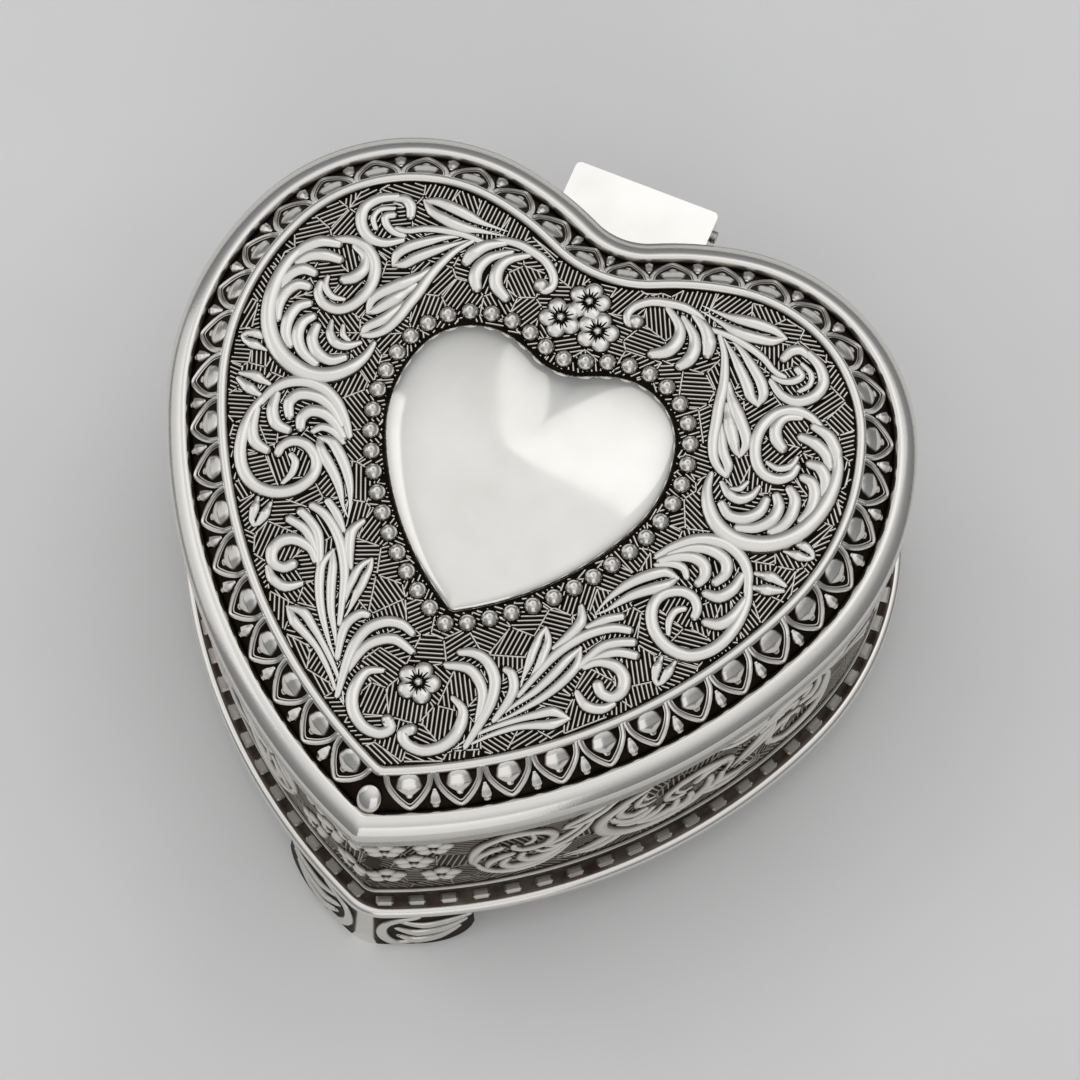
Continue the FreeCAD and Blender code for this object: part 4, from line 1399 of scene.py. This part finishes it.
@dataclass
class Plaque:
    """Domed polished heart with a steep edge, in a ring of beads."""

    outline: HeartOutline
    wardrobe: Wardrobe
    foot: float
    top: float
    middle_y: float
    edge_height: float = 0.2
    edge_run: float = 0.1
    tip_radius: float = 1.2
    round_radius: float = 7.0
    rings: int = 26
    dome_power: float = 2.4
    dome_softness: float = 0.72
    bead_outset: float = 1.9
    bead_tip_radius: float = 2.6
    bead_radius: float = 1.25
    bead_count: int = 46
    dimple: float = 0.2
    dimple_from: float = 0.99
    dimple_tone: float = 0.5

    def build_dome(self) -> None:
        """Model the plaque from its foot up a steep edge and over a soft dome."""
        foot = self.outline.ring(0.0, self.tip_radius, self.foot)
        loft = Loft(foot, 0.4)
        loft.cap()
        shoulder = self.foot + self.edge_height
        loft.grow(self.outline.ring(self.edge_run, self.tip_radius, self.foot + self.edge_height / 2), 0.8)
        edge = self.outline.ring(self.edge_run, self.tip_radius, shoulder)
        loft.grow(edge, 1.0)
        centre = Vector((0, self.middle_y, 0))
        dome = self.top - shoulder
        for count in range(1, self.rings):
            share = 1 - math.cos(math.pi / 2 * count / self.rings)
            keep = 1 - share
            height = shoulder + dome * (1 - keep ** self.dome_power) ** self.dome_softness
            ring = []
            for point in edge:
                flat = Vector((point.x, point.y, 0)) - centre
                rounded = flat.normalized() * self.round_radius
                mixed = flat.lerp(rounded, smooth_step(0.0, 1.0, share)) * keep
                ring.append(centre + mixed + Vector((0, 0, height)))
            loft.grow(ring, 1.0)
        loft.cap()
        self.wardrobe.make_piece(
            "domed_plaque", loft.shape(), Body.LID, Slot.POLISHED, ["heart_plaque"], PLAQUE_DEGREES
        )

    def on_field(self, point: Vector) -> Vector:
        """Place of a point of the sheet that the beads are modelled on."""
        return Vector((point.x, point.y, point.z + self.foot)) * MM

    def build_beads(self) -> None:
        """Model the ring of beads round the plaque."""
        path = self.outline.path(-self.bead_outset, self.bead_tip_radius)
        pitch = 2 * path.half / self.bead_count
        balls = []
        for count in range(self.bead_count):
            place = path.at(pitch * count)[0]
            balls.append(Ball(place.x, place.y, self.bead_radius, self.bead_radius))
        relief = FlatRelief(dark_slope=-0.4, bright_slope=0.5)
        relief.add_balls(balls, segments=16)
        bm = relief.set_on(self.on_field)
        wear_and_shade = bm.verts.layers.float[WEAR_AND_SHADE]
        for vert in bm.verts:
            if vert.co.z > (self.foot + self.dimple_from * self.bead_radius) * MM:
                vert.co.z -= self.dimple * MM
                vert[wear_and_shade] = self.dimple_tone
        self.wardrobe.make_piece("plaque_beads", bm, Body.LID)
        # Dark rings round the beads' feet: patina and painted shade
        patina_and_shade_fillets(balls).cast("plaque_bead_patina_shade_fillets", self.wardrobe, Body.LID, self.on_field)

    def build(self) -> None:
        """Model the plaque and its beads."""
        self.build_dome()
        self.build_beads()


# Leaves between the scrolls of the frieze: turn, distance from the tip, height on the wall
FRIEZE_LEAVES = (
    (150.0, 32.5, 22.0), (-20.0, 31.5, 6.0), (200.0, 53.5, 6.0), (15.0, 54.0, 22.0), (160.0, 75.0, 22.0),
    (-10.0, 92.0, 6.0), (170.0, 94.0, 22.5), (20.0, 117.0, 22.0), (200.0, 117.0, 6.0),
)
# Frieze of the right half: group, the group's own middle, turn, distance from the tip, height on the wall
FRIEZE = (
    (SECOND_SCROLL, (-29.0, 0.4), 180.0, 22.0, 14.0),
    (GREAT_SCROLL, (-33.0, 20.2), 90.0, 43.0, 14.0),
    (SECOND_SCROLL, (-29.0, 0.4), 0.0, 64.0, 14.5),
    (SPRAY, (-16.5, -19.5), 70.0, 84.0, 14.0),
    (GREAT_SCROLL, (-33.0, 20.2), -90.0, 106.0, 14.0),
    (SECOND_SCROLL, (-29.0, 0.4), 180.0, 127.0, 14.0),
    *((TOP_LEAF, (-20.8, 39.4), *place) for place in FRIEZE_LEAVES),
)
FRIEZE_FLOWERS: tuple[Plan, ...] = ((2.8, 21.5), (6.6, 15.5), (2.6, 9.0), (9.4, 21.8), (10.2, 8.6))


@dataclass
class BoxWall:
    """Cast wall with a frieze of scrolls, leaves and flowers on hatched ground."""

    outline: HeartOutline
    wardrobe: Wardrobe
    foot: float
    top: float
    outset: float = 0.4
    thickness: float = 2.0
    lip_height: float = 1.8
    lip_inset: float = 0.75
    tip_radius: float = 3.0
    rounding: float = 0.2
    fillet_height: float = 0.8
    fillet_width: float = 0.45
    fillet_steps: int = 6
    ground_tone: float = 0.13
    flower_turn: float = 0.4
    hatch_from_fillet: float = 2.4
    hatch_from_seat: float = 0.6
    cleft_clear: float = 17.0
    crest: float = 0.9
    ground_crest: float = 0.72
    slimming: float = -0.12
    hatch: HatchedGround = HatchedGround(pitch=0.85, half_width=0.2, patch=6.0, step=0.4, seed=3)
    flower: Flower = Flower()

    def build_wall(self) -> None:
        """Model the wall with its lip and a round fillet along its foot."""
        soft = self.rounding
        seat = self.top - self.lip_height
        inner = self.thickness - self.outset
        levels = [
            Level(inner, self.foot, 0.3),
            Level(soft - self.outset, self.foot, 0.3),
        ]
        for count in range(self.fillet_steps + 1):
            angle = math.pi * count / self.fillet_steps
            inset = -self.outset - self.fillet_width * math.sin(angle)
            height = self.foot + soft + self.fillet_height * (1 - math.cos(angle)) / 2
            levels.append(Level(inset, height, 0.15 + 0.7 * math.sin(angle)))
        levels += [
            Level(-self.outset, self.foot + 2 * self.fillet_height, self.ground_tone),
            Level(-self.outset, seat - soft, self.ground_tone),
            Level(soft - self.outset, seat, 0.8),
            Level(self.lip_inset, seat, 0.7),
            Level(self.lip_inset, self.top - soft, 0.9),
            Level(self.lip_inset + soft, self.top),
            Level(inner - soft, self.top),
            Level(inner, self.top - soft, 0.9),
            levels[0],
        ]
        bm = loft_levels(self.outline, levels, self.tip_radius, capped=False)
        self.wardrobe.make_piece(
            "wall_casting", bm, Body.BOX, stands_for=["box_wall"], sharp_degrees=CASTING_DEGREES
        )

    def on_wall(self, path: OutlinePath) -> Surface:
        """Surface of the wall, for sheets with length along X and height along Y."""

        def place(point: Vector) -> Vector:
            base, outward = path.at(point.x)
            return (base + outward * point.z + Vector((0, 0, self.foot + point.y))) * MM

        return place

    def frieze(self, half: float) -> tuple[list[Stroke], list[Ball]]:
        """Ridges and bosses of the right half of the frieze.

        Args:
            half: length of the wall from the cleft to the tip.

        Returns:
            The strokes and the balls, on a sheet with length along X and height along Y.
        """
        strokes = []
        balls = []
        for group, (x, y), turn, back, height in FRIEZE:
            change = Matrix.Translation((half - back, height, 0))
            change @= Matrix.Rotation(math.radians(turn), 4, "Z")
            change @= Matrix.Translation((-x, -y, 0))
            strokes += [stroke.moved(change) for stroke in group]
        for back, height in FRIEZE_FLOWERS:
            balls += self.flower.balls(half - back, height, self.flower_turn)
        return strokes, balls

    def build_frieze(self) -> None:
        """Model the frieze of both halves and the ground behind it."""
        path = self.outline.path(-self.outset, self.tip_radius)
        strokes, balls = self.frieze(path.half)
        surface = self.on_wall(path)
        for name, side in (("right", 1), ("left", -1)):
            relief = FlatRelief(dark_slope=0.2, bright_slope=1.0, crest=self.crest)
            relief.add_ridges([stroke.mirrored(side).widened(self.slimming) for stroke in strokes], sides=2)
            relief.add_balls([ball.mirrored(side) for ball in balls], segments=10)
            relief.cast("wall_frieze_" + name, self.wardrobe, Body.BOX, surface)
        seat = self.top - self.lip_height - self.foot
        low = (self.cleft_clear, self.hatch_from_fillet * self.fillet_height)
        high = (2 * path.half - self.cleft_clear, seat - self.hatch_from_seat)

        def inside(x: float, y: float) -> bool:
            return low[0] < x < high[0] and low[1] < y < high[1]

        relief = hatched_relief(bright_slope=0.8, crest=self.ground_crest)
        relief.add_hatching(self.hatch.strokes(low, high, inside))
        relief.cast("wall_hatching", self.wardrobe, Body.BOX, surface)

    def build(self) -> None:
        """Model the wall and its frieze."""
        self.build_wall()
        self.build_frieze()


@dataclass
class BaseMoulding:
    """Foot ring: thin bright flange, dark hollow with a row of small tabs, ledge for the base plate."""

    outline: HeartOutline
    wardrobe: Wardrobe
    foot: float
    top: float
    flange_outset: float = 3.19
    flange_thickness: float = 1.4
    flange_edge: float = 0.35
    flange_band: float = 0.95
    flange_tip_radius: float = 7.0
    wall_outset: float = 0.4
    wall_tip_radius: float = 3.0
    wall_inset: float = 1.6
    recess_inset: float = 2.0
    recess_depth: float = 1.2
    ledge_inset: float = 4.5
    ledge_drop: float = 1.0
    flange_lip: float = 0.1
    flange_steps: int = 4
    hollow_steps: int = 7
    hollow_tone: float = 0.24
    inside_tone: float = 0.2
    sharp_degrees: float = 40.0
    tab_pitch: float = 4.5
    tab_size: tuple[float, float, float] = (2.5, 1.5, 1.2)
    tab_outset: float = 1.15
    tab_height: float = 2.6
    tab_bevel: float = 0.3
    tab_tone: float = 0.65

    def build_ring(self) -> None:
        """Model the ring with its flange, hollow and ledge."""
        edge = self.flange_edge
        out = self.flange_outset
        flange_top = self.foot + self.flange_thickness
        wide = self.flange_tip_radius
        narrow = self.wall_tip_radius
        levels = [
            Level(self.recess_inset, self.foot, 0.4),
            Level(edge - out, self.foot, 0.6, wide),
            Level(-out, self.foot + edge, 1.0, wide),
        ]
        band = self.flange_band
        for step in range(self.flange_steps + 1):
            angle = math.pi / 2 * step / self.flange_steps
            height = flange_top - band * (1 - math.sin(angle))
            levels.append(Level(band * (1 - math.cos(angle)) - out, height, 1.0, wide))
        start = band + self.flange_lip - out
        levels.append(Level(start, flange_top, 0.3, wide))
        run = -self.wall_outset - start
        for step in range(1, self.hollow_steps + 1):
            angle = math.pi / 2 * step / self.hollow_steps
            share = math.sin(angle)
            height = flange_top + (self.top - flange_top) * (1 - math.cos(angle))
            tip = wide + (narrow - wide) * share
            levels.append(Level(start + run * share, height, self.hollow_tone, tip))
        ledge = self.top - self.ledge_drop
        recess = self.foot + self.recess_depth
        inside = (
            (self.wall_inset, self.top),
            (self.wall_inset, ledge),
            (self.ledge_inset, ledge),
            (self.ledge_inset, recess),
            (self.recess_inset, recess),
        )
        levels += [Level(inset, height, self.inside_tone) for inset, height in inside]
        levels.append(levels[0])
        bm = loft_levels(self.outline, levels, narrow, capped=False)
        self.wardrobe.make_piece(
            "base_casting", bm, Body.BOX, stands_for=["base_moulding"], sharp_degrees=self.sharp_degrees
        )

    def build_tabs(self) -> None:
        """Model the row of small tabs in the hollow."""
        path = self.outline.path(-self.tab_outset, (self.flange_tip_radius + self.wall_tip_radius) / 2)
        count = 2 * round(path.half / self.tab_pitch)
        bm = bmesh.new()
        for index in range(count):
            point, outward = path.at(2 * path.half * (index + 0.5) / count)
            along = Vector((-outward.y, outward.x, 0))
            turn = Matrix((along, outward, Vector((0, 0, 1)))).transposed().to_4x4()
            place = point + Vector((0, 0, self.foot + self.tab_height))
            size = Matrix.Diagonal((*self.tab_size, 1.0))
            bmesh.ops.create_cube(bm, size=1.0, matrix=Matrix.Translation(place) @ turn @ size)
        bmesh.ops.bevel(
            bm, geom=bm.edges[:], offset=self.tab_bevel, affect="EDGES", segments=1, profile=0.5, material=-1
        )
        wear_and_shade = bm.verts.layers.float.new(WEAR_AND_SHADE)
        for vert in bm.verts:
            vert[wear_and_shade] = self.tab_tone
        bmesh.ops.scale(bm, vec=(MM, MM, MM), verts=bm.verts)
        self.wardrobe.make_piece("base_tabs", bm, Body.BOX)

    def build(self) -> None:
        """Model the ring and its tabs."""
        self.build_ring()
        self.build_tabs()


# Carving of the right half of a foot's leaf: place across as a share of its half width, height as a share
FOOT_CARVING = (
    ridge((0.4, 0.8, 0.95, 0.8, 0.4), (0.42, 0.12), (0.25, 0.15), (0.16, 0.45), (0.22, 0.78), (0.48, 0.92)),
    ridge((0.5, 1.0, 0.9, 0.4), (0.32, 0.34), (0.46, 0.21), (0.66, 0.30), (0.84, 0.54)),
    ridge((0.5, 1.0, 0.9, 0.4), (0.31, 0.58), (0.48, 0.45), (0.71, 0.55), (0.90, 0.76)),
    ridge((0.4, 0.9, 0.8, 0.4), (0.36, 0.78), (0.54, 0.69), (0.74, 0.77), (0.94, 0.91)),
)


@dataclass
class CarvedFoot:
    """Leaf carved on the outer face of a cast foot, on either side of a plain band."""

    node: str
    outline: HeartOutline
    wardrobe: Wardrobe
    arc: int
    heading: float
    half_width: float
    toe_half_width: float
    side: int = 1
    height: float = 10.0
    outset: float = 2.8
    splay: float = 1.5
    wing_height: float = 2.2
    tip_radius: float = 7.0
    band_half_width: float = 1.2
    band_edge: float = 0.5
    ground_tone: float = 0.05
    ground_grid: tuple[int, int] = (60, 8)
    margin: float = 0.15
    proud: float = 0.03

    def centre(self, path: OutlinePath) -> float:
        """Distance along a path to the middle of the foot."""
        before = sum(arc.length for arc in path.arcs[:self.arc])
        arc = path.arcs[self.arc]
        share = (math.radians(self.heading) - arc.start) / (arc.end - arc.start)
        return self.side * (before + arc.length * share)

    def on_face(self) -> Surface:
        """Surface of the foot's outer face, for sheets with width along X and height along Y."""
        path = self.outline.path(-self.outset - self.splay / 2, self.tip_radius)
        centre = self.centre(path)

        def place(point: Vector) -> Vector:
            base, outward = path.at(centre + point.x)
            out = self.splay * (0.5 - point.y / self.height) + point.z
            return (base + outward * out + Vector((0, 0, point.y))) * MM

        return place

    def lower_edge(self, across: float) -> float:
        """Height of the foot's lower edge at a distance from its middle."""
        past = (abs(across) - self.toe_half_width) / (self.half_width - self.toe_half_width)
        swing = min(max(past, 0.0), 1.0)
        return (self.height - self.wing_height) * (1 - math.sqrt(1 - swing ** 2)) + self.margin

    def build(self) -> None:
        """Model the leaf on the foot's face, and the plain band and dark ground behind it."""
        place = self.on_face()
        relief = FlatRelief(height_share=0.6)
        strokes = []
        for stroke in FOOT_CARVING:
            line = tuple((x * self.half_width, y * self.height) for x, y in stroke.line)
            strokes += [Stroke(stroke.widths, line).mirrored(side) for side in (1, -1)]
        relief.add_ridges(strokes, sides=2, steps=5)
        carved = relief.set_on(place)
        ground = bmesh.new()
        columns, rows = self.ground_grid
        bmesh.ops.create_grid(ground, x_segments=columns, y_segments=rows, size=1.0)
        wear_and_shade = ground.verts.layers.float.new(WEAR_AND_SHADE)
        reach = self.half_width - self.margin
        band = self.band_half_width
        for vert in ground.verts:
            across = vert.co.x * reach
            low = self.lower_edge(across)
            up = low + (self.height - self.margin - low) * (vert.co.y + 1) / 2
            vert[wear_and_shade] = 1 - (1 - self.ground_tone) * smooth_step(band, band + self.band_edge, abs(across))
            vert.co = place(Vector((across, up, self.proud)))
        join(carved, ground)
        bmesh.ops.recalc_face_normals(carved, faces=carved.faces)
        self.wardrobe.make_piece(self.node + "_leaf", carved, Body.BOX)


@dataclass
class Linings:
    """Velvet pads on the floor and in the lid, and the velvet strip round the wall."""

    outline: HeartOutline
    wardrobe: Wardrobe
    tip_radius: float = 3.0
    lid_tip_radius: float = 1.6
    floor_inset: float = 3.1
    lid_inset: float = 6.4
    strip_outer: float = 1.75
    strip_inner: float = 2.95
    edge_drop: float = 0.9
    least_drops: float = 2.2
    start_share: float = 0.85
    voxel: float = 1.1
    cap: float = 0.9
    frames: int = 20
    pressure: float = 4.0

    def pad_levels(self, inset: float, thick: float) -> list[Level]:
        """Profile of a pad with rounded edges, from its back to its face.

        Args:
            inset: inset of the pad's space.
            thick: thickness of the pad before it swells.

        Returns:
            The levels, with heights from the back.
        """
        drop = min(self.edge_drop, thick / self.least_drops)
        profile = (
            (0.5, 0.0),
            (0.1, 0.4),
            (0.1, thick - drop),
            (0.35, thick - drop * 0.45),
            (1.1, thick - drop * 0.1),
            (2.4, thick),
        )
        return [Level(inset + step, height) for step, height in profile]

    def swell(self, obj: Object, up: int) -> None:
        """Swell a pad by cloth under pressure, and keep its back flat.

        Args:
            obj: the pad.
            up: 1 where the pad's face looks up, -1 where it looks down.
        """
        start = [vert.co.copy() for vert in obj.data.vertices]
        back = min(point.z * up for point in start)
        cloth = obj.modifiers.new("swelling", "CLOTH")
        cloth.settings.use_pressure = True
        cloth.settings.uniform_pressure_force = self.pressure
        cloth.settings.effector_weights.gravity = 0.0
        for count in range(1, self.frames + 1):
            bpy.context.scene.frame_set(count)
        self.bake_modifiers(obj)
        bpy.context.scene.frame_set(1)
        for vert, before in zip(obj.data.vertices, start):
            move = vert.co - before
            if move.length > self.cap * MM:
                move *= self.cap * MM / move.length
            vert.co = before + move
            vert.co.z = up * max(vert.co.z * up, back)

    @staticmethod
    def bake_modifiers(obj: Object) -> None:
        """Turn the result of the modifiers into the object's own mesh."""
        scene = bpy.context.evaluated_depsgraph_get()
        mesh = bpy.data.meshes.new_from_object(obj.evaluated_get(scene))
        obj.modifiers.clear()
        old = obj.data
        obj.data = mesh
        bpy.data.meshes.remove(old)

    def build_pad(self, node: str, body: Body, inset: float, tip_radius: float, up: int) -> None:
        """Model one pad in the space of its solid.

        Args:
            node: solid that the pad stands for.
            body: body that it rides on.
            inset: inset of its edge.
            tip_radius: radius that rounds its tip.
            up: 1 where its face looks up, -1 where it looks down.
        """
        low, high = heights(node)
        back = low if up > 0 else high
        levels = self.pad_levels(inset, (high - low) * self.start_share)
        placed = [Level(level.inset, back + up * level.height) for level in levels]
        bm = loft_levels(self.outline, placed, tip_radius, capped=True)
        pad = self.wardrobe.make_piece(node + "_velvet", bm, body, Slot.VELVET, [node], SOFT_DEGREES)
        remesh = pad.modifiers.new("even_mesh", "REMESH")
        remesh.mode = "VOXEL"
        remesh.voxel_size = self.voxel * MM
        self.bake_modifiers(pad)
        self.swell(pad, up)
        smooth = pad.modifiers.new("soft_surface", "SUBSURF")
        smooth.levels = 1
        smooth.render_levels = 1
        pad.data.shade_smooth()

    def build_strip(self) -> None:
        """Model the velvet strip round the inside of the wall."""
        low, high = heights("wall_lining")
        soft = (self.strip_inner - self.strip_outer) / 2
        profile = (
            (self.strip_outer, low),
            (self.strip_outer, high - soft),
            (self.strip_outer + soft * 0.4, high - soft * 0.3),
            (self.strip_outer + soft, high),
            (self.strip_inner - soft * 0.4, high - soft * 0.3),
            (self.strip_inner, high - soft),
            (self.strip_inner, low),
            (self.strip_outer, low),
        )
        levels = [Level(inset, height) for inset, height in profile]
        bm = loft_levels(self.outline, levels, self.tip_radius, capped=False)
        strip = self.wardrobe.make_piece(
            "wall_velvet", bm, Body.BOX, Slot.VELVET, ["wall_lining"], SOFT_DEGREES
        )

    def build(self) -> None:
        """Model the pads and the strip."""
        self.build_pad("floor_pad", Body.BOX, self.floor_inset, self.tip_radius, 1)
        self.build_pad("lid_pad", Body.LID, self.lid_inset, self.lid_tip_radius, -1)
        self.build_strip()


@dataclass
class Hardware:
    """Solids that show as they are: hinge, pins, rivets, screws, feet, cards and base plate."""

    wardrobe: Wardrobe
    weld: float = 0.001
    bevel: float = 0.18
    bevel_segments: int = 2
    bevel_degrees: float = 50.0
    slots: dict[str, Slot] = field(default_factory=lambda: {
        "foot_front": Slot.POLISHED,
        "foot_left": Slot.POLISHED,
        "foot_right": Slot.POLISHED,
        "foot_screws": Slot.STEEL,
        "base_plate": Slot.POLISHED,
        "floor_card": Slot.CARD,
        "lid_card": Slot.CARD,
        "hinge_body_leaf": Slot.POLISHED,
        "hinge_lid_leaf": Slot.POLISHED,
        "hinge_body_rivets": Slot.STEEL,
        "hinge_lid_rivets": Slot.STEEL,
        "hinge_pin": Slot.STEEL,
    })
    bevelled: tuple[str, ...] = ("hinge_body_leaf", "hinge_lid_leaf")

    def build(self) -> None:
        """Dress the solids, and soften the edges of the hinge leaves."""
        for node, slot in self.slots.items():
            self.wardrobe.dress(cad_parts[node], slot)
        for node in self.bevelled:
            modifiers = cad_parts[node].modifiers
            weld = modifiers.new("joined_faces", "WELD")
            weld.merge_threshold = self.weld * MM
            bevel = modifiers.new("soft_edges", "BEVEL")
            bevel.width = self.bevel * MM
            bevel.segments = self.bevel_segments
            bevel.limit_method = "ANGLE"
            bevel.angle_limit = math.radians(self.bevel_degrees)


@dataclass(frozen=True)
class Panel:
    """Square soft box that faces the object: place and side in metres, and brightness where 1 is white."""

    name: str
    place: Vector
    size: float
    brightness: float

    def build(self) -> None:
        """Hang the soft box."""
        data = bpy.data.lights.new(self.name, "AREA")
        data.shape = "SQUARE"
        data.size = self.size
        data.energy = self.brightness * math.pi * self.size ** 2
        turn = self.place.to_track_quat("Z", "Y").to_matrix().to_4x4()
        add_object(self.name, data).matrix_world = Matrix.Translation(self.place) @ turn


@dataclass
class Studio:
    """Pale floor, soft lights and the camera."""

    camera_place: Vector = Vector((82.61, -183.36, 586.23)) * MM
    camera_right: Vector = Vector((0.92284, 0.38520, -0.00108))
    camera_up: Vector = Vector((-0.36161, 0.86728, 0.34215))
    camera_back: Vector = Vector((0.13273, -0.31536, 0.93964))
    lens: float = 140.0
    sensor: float = 36.0
    nearest: float = 0.01
    floor_size: float = 30.0
    floor_squares: int = 8
    panels: tuple[Panel, ...] = (
        Panel("overhead_panel", Vector((0.25, 0.7, 0.95)), size=1.0, brightness=0.27),
        Panel("left_panel", Vector((-1.0, -0.1, 0.6)), size=0.9, brightness=0.45),
        Panel("front_panel", Vector((0.5, -1.1, 0.5)), size=0.9, brightness=0.6),
    )
    world_stops: tuple[tuple[float, str], ...] = ((0.0, "#747477"), (0.45, "#96989b"), (0.9, "#f2f3f5"))

    def build_camera(self) -> None:
        """Set the camera at the matched angle and distance."""
        data = bpy.data.cameras.new("studio_camera")
        data.lens = self.lens
        data.sensor_width = self.sensor
        data.clip_start = self.nearest
        camera = add_object("studio_camera", data)
        turn = Matrix((self.camera_right, self.camera_up, self.camera_back)).transposed()
        camera.matrix_world = Matrix.Translation(self.camera_place) @ turn.to_4x4()
        bpy.context.scene.camera = camera

    def build_floor(self) -> None:
        """Lay the pale floor."""
        bm = bmesh.new()
        squares = self.floor_squares
        bmesh.ops.create_grid(bm, x_segments=squares, y_segments=squares, size=self.floor_size / 2)
        floor = add_object("studio_floor", to_mesh("studio_floor", bm))
        floor.data.materials.append(PALE_FLOOR.material())

    def build_light(self) -> None:
        """Light the object with a large overhead panel, two sides and a soft world."""
        for panel in self.panels:
            panel.build()
        world = bpy.data.worlds.new("studio_world")
        bpy.context.scene.world = world
        world.use_nodes = True
        tree = world.node_tree
        place = add_node(tree, "ShaderNodeTexCoord", {})
        parts = add_node(tree, "ShaderNodeSeparateXYZ", {0: place.outputs["Generated"]})
        ramp = add_node(tree, "ShaderNodeValToRGB", {"Fac": parts.outputs["Z"]})
        tree.links.new(set_ramp(ramp, self.world_stops), tree.nodes["Background"].inputs["Color"])

    def build(self) -> None:
        """Set up the studio."""
        bpy.context.scene.view_settings.view_transform = "Standard"
        self.build_camera()
        self.build_floor()
        self.build_light()


def main() -> None:
    """Build the sub-assemblies in order."""
    logging.basicConfig(level=logging.INFO, format="%(name)s %(message)s")
    wardrobe = Wardrobe()
    shell_foot, _ = heights("lid_shell")
    plaque_foot, plaque_top = heights("heart_plaque")
    wall_foot, wall_top = heights("box_wall")
    base_foot, base_top = heights("base_moulding")
    rim = HeartOutline(
        cleft_y=40.834,
        radii=(11.8, 45.5, 27.4, 42.2, 83.2),
        headings=(25.7, 9.8, -68.8, -112.0),
    )
    plaque_line = HeartOutline(
        cleft_y=19.634,
        radii=(8.4, 18.8, 9.6, 19.2, 43.6),
        headings=(26.4, 13.5, -72.3, -114.2),
    )
    Studio().build()
    Lid(rim, wardrobe, foot=shell_foot, field_height=plaque_foot, plan_y=-3.866).build(plaque_line)
    Plaque(plaque_line, wardrobe, foot=plaque_foot, top=plaque_top, middle_y=5.0).build()
    BoxWall(rim, wardrobe, foot=wall_foot, top=wall_top).build()
    BaseMoulding(rim, wardrobe, foot=base_foot, top=base_top).build()
    CarvedFoot("foot_front", rim, wardrobe, 5, -180.0, half_width=16.0, toe_half_width=8.3).build()
    for node, side in (("foot_right", 1), ("foot_left", -1)):
        CarvedFoot(node, rim, wardrobe, 2, -35.0, half_width=12.6, toe_half_width=7.05, side=side).build()
    Linings(rim, wardrobe).build()
    Hardware(wardrobe).build()


if __name__ == "__main__":
    main()
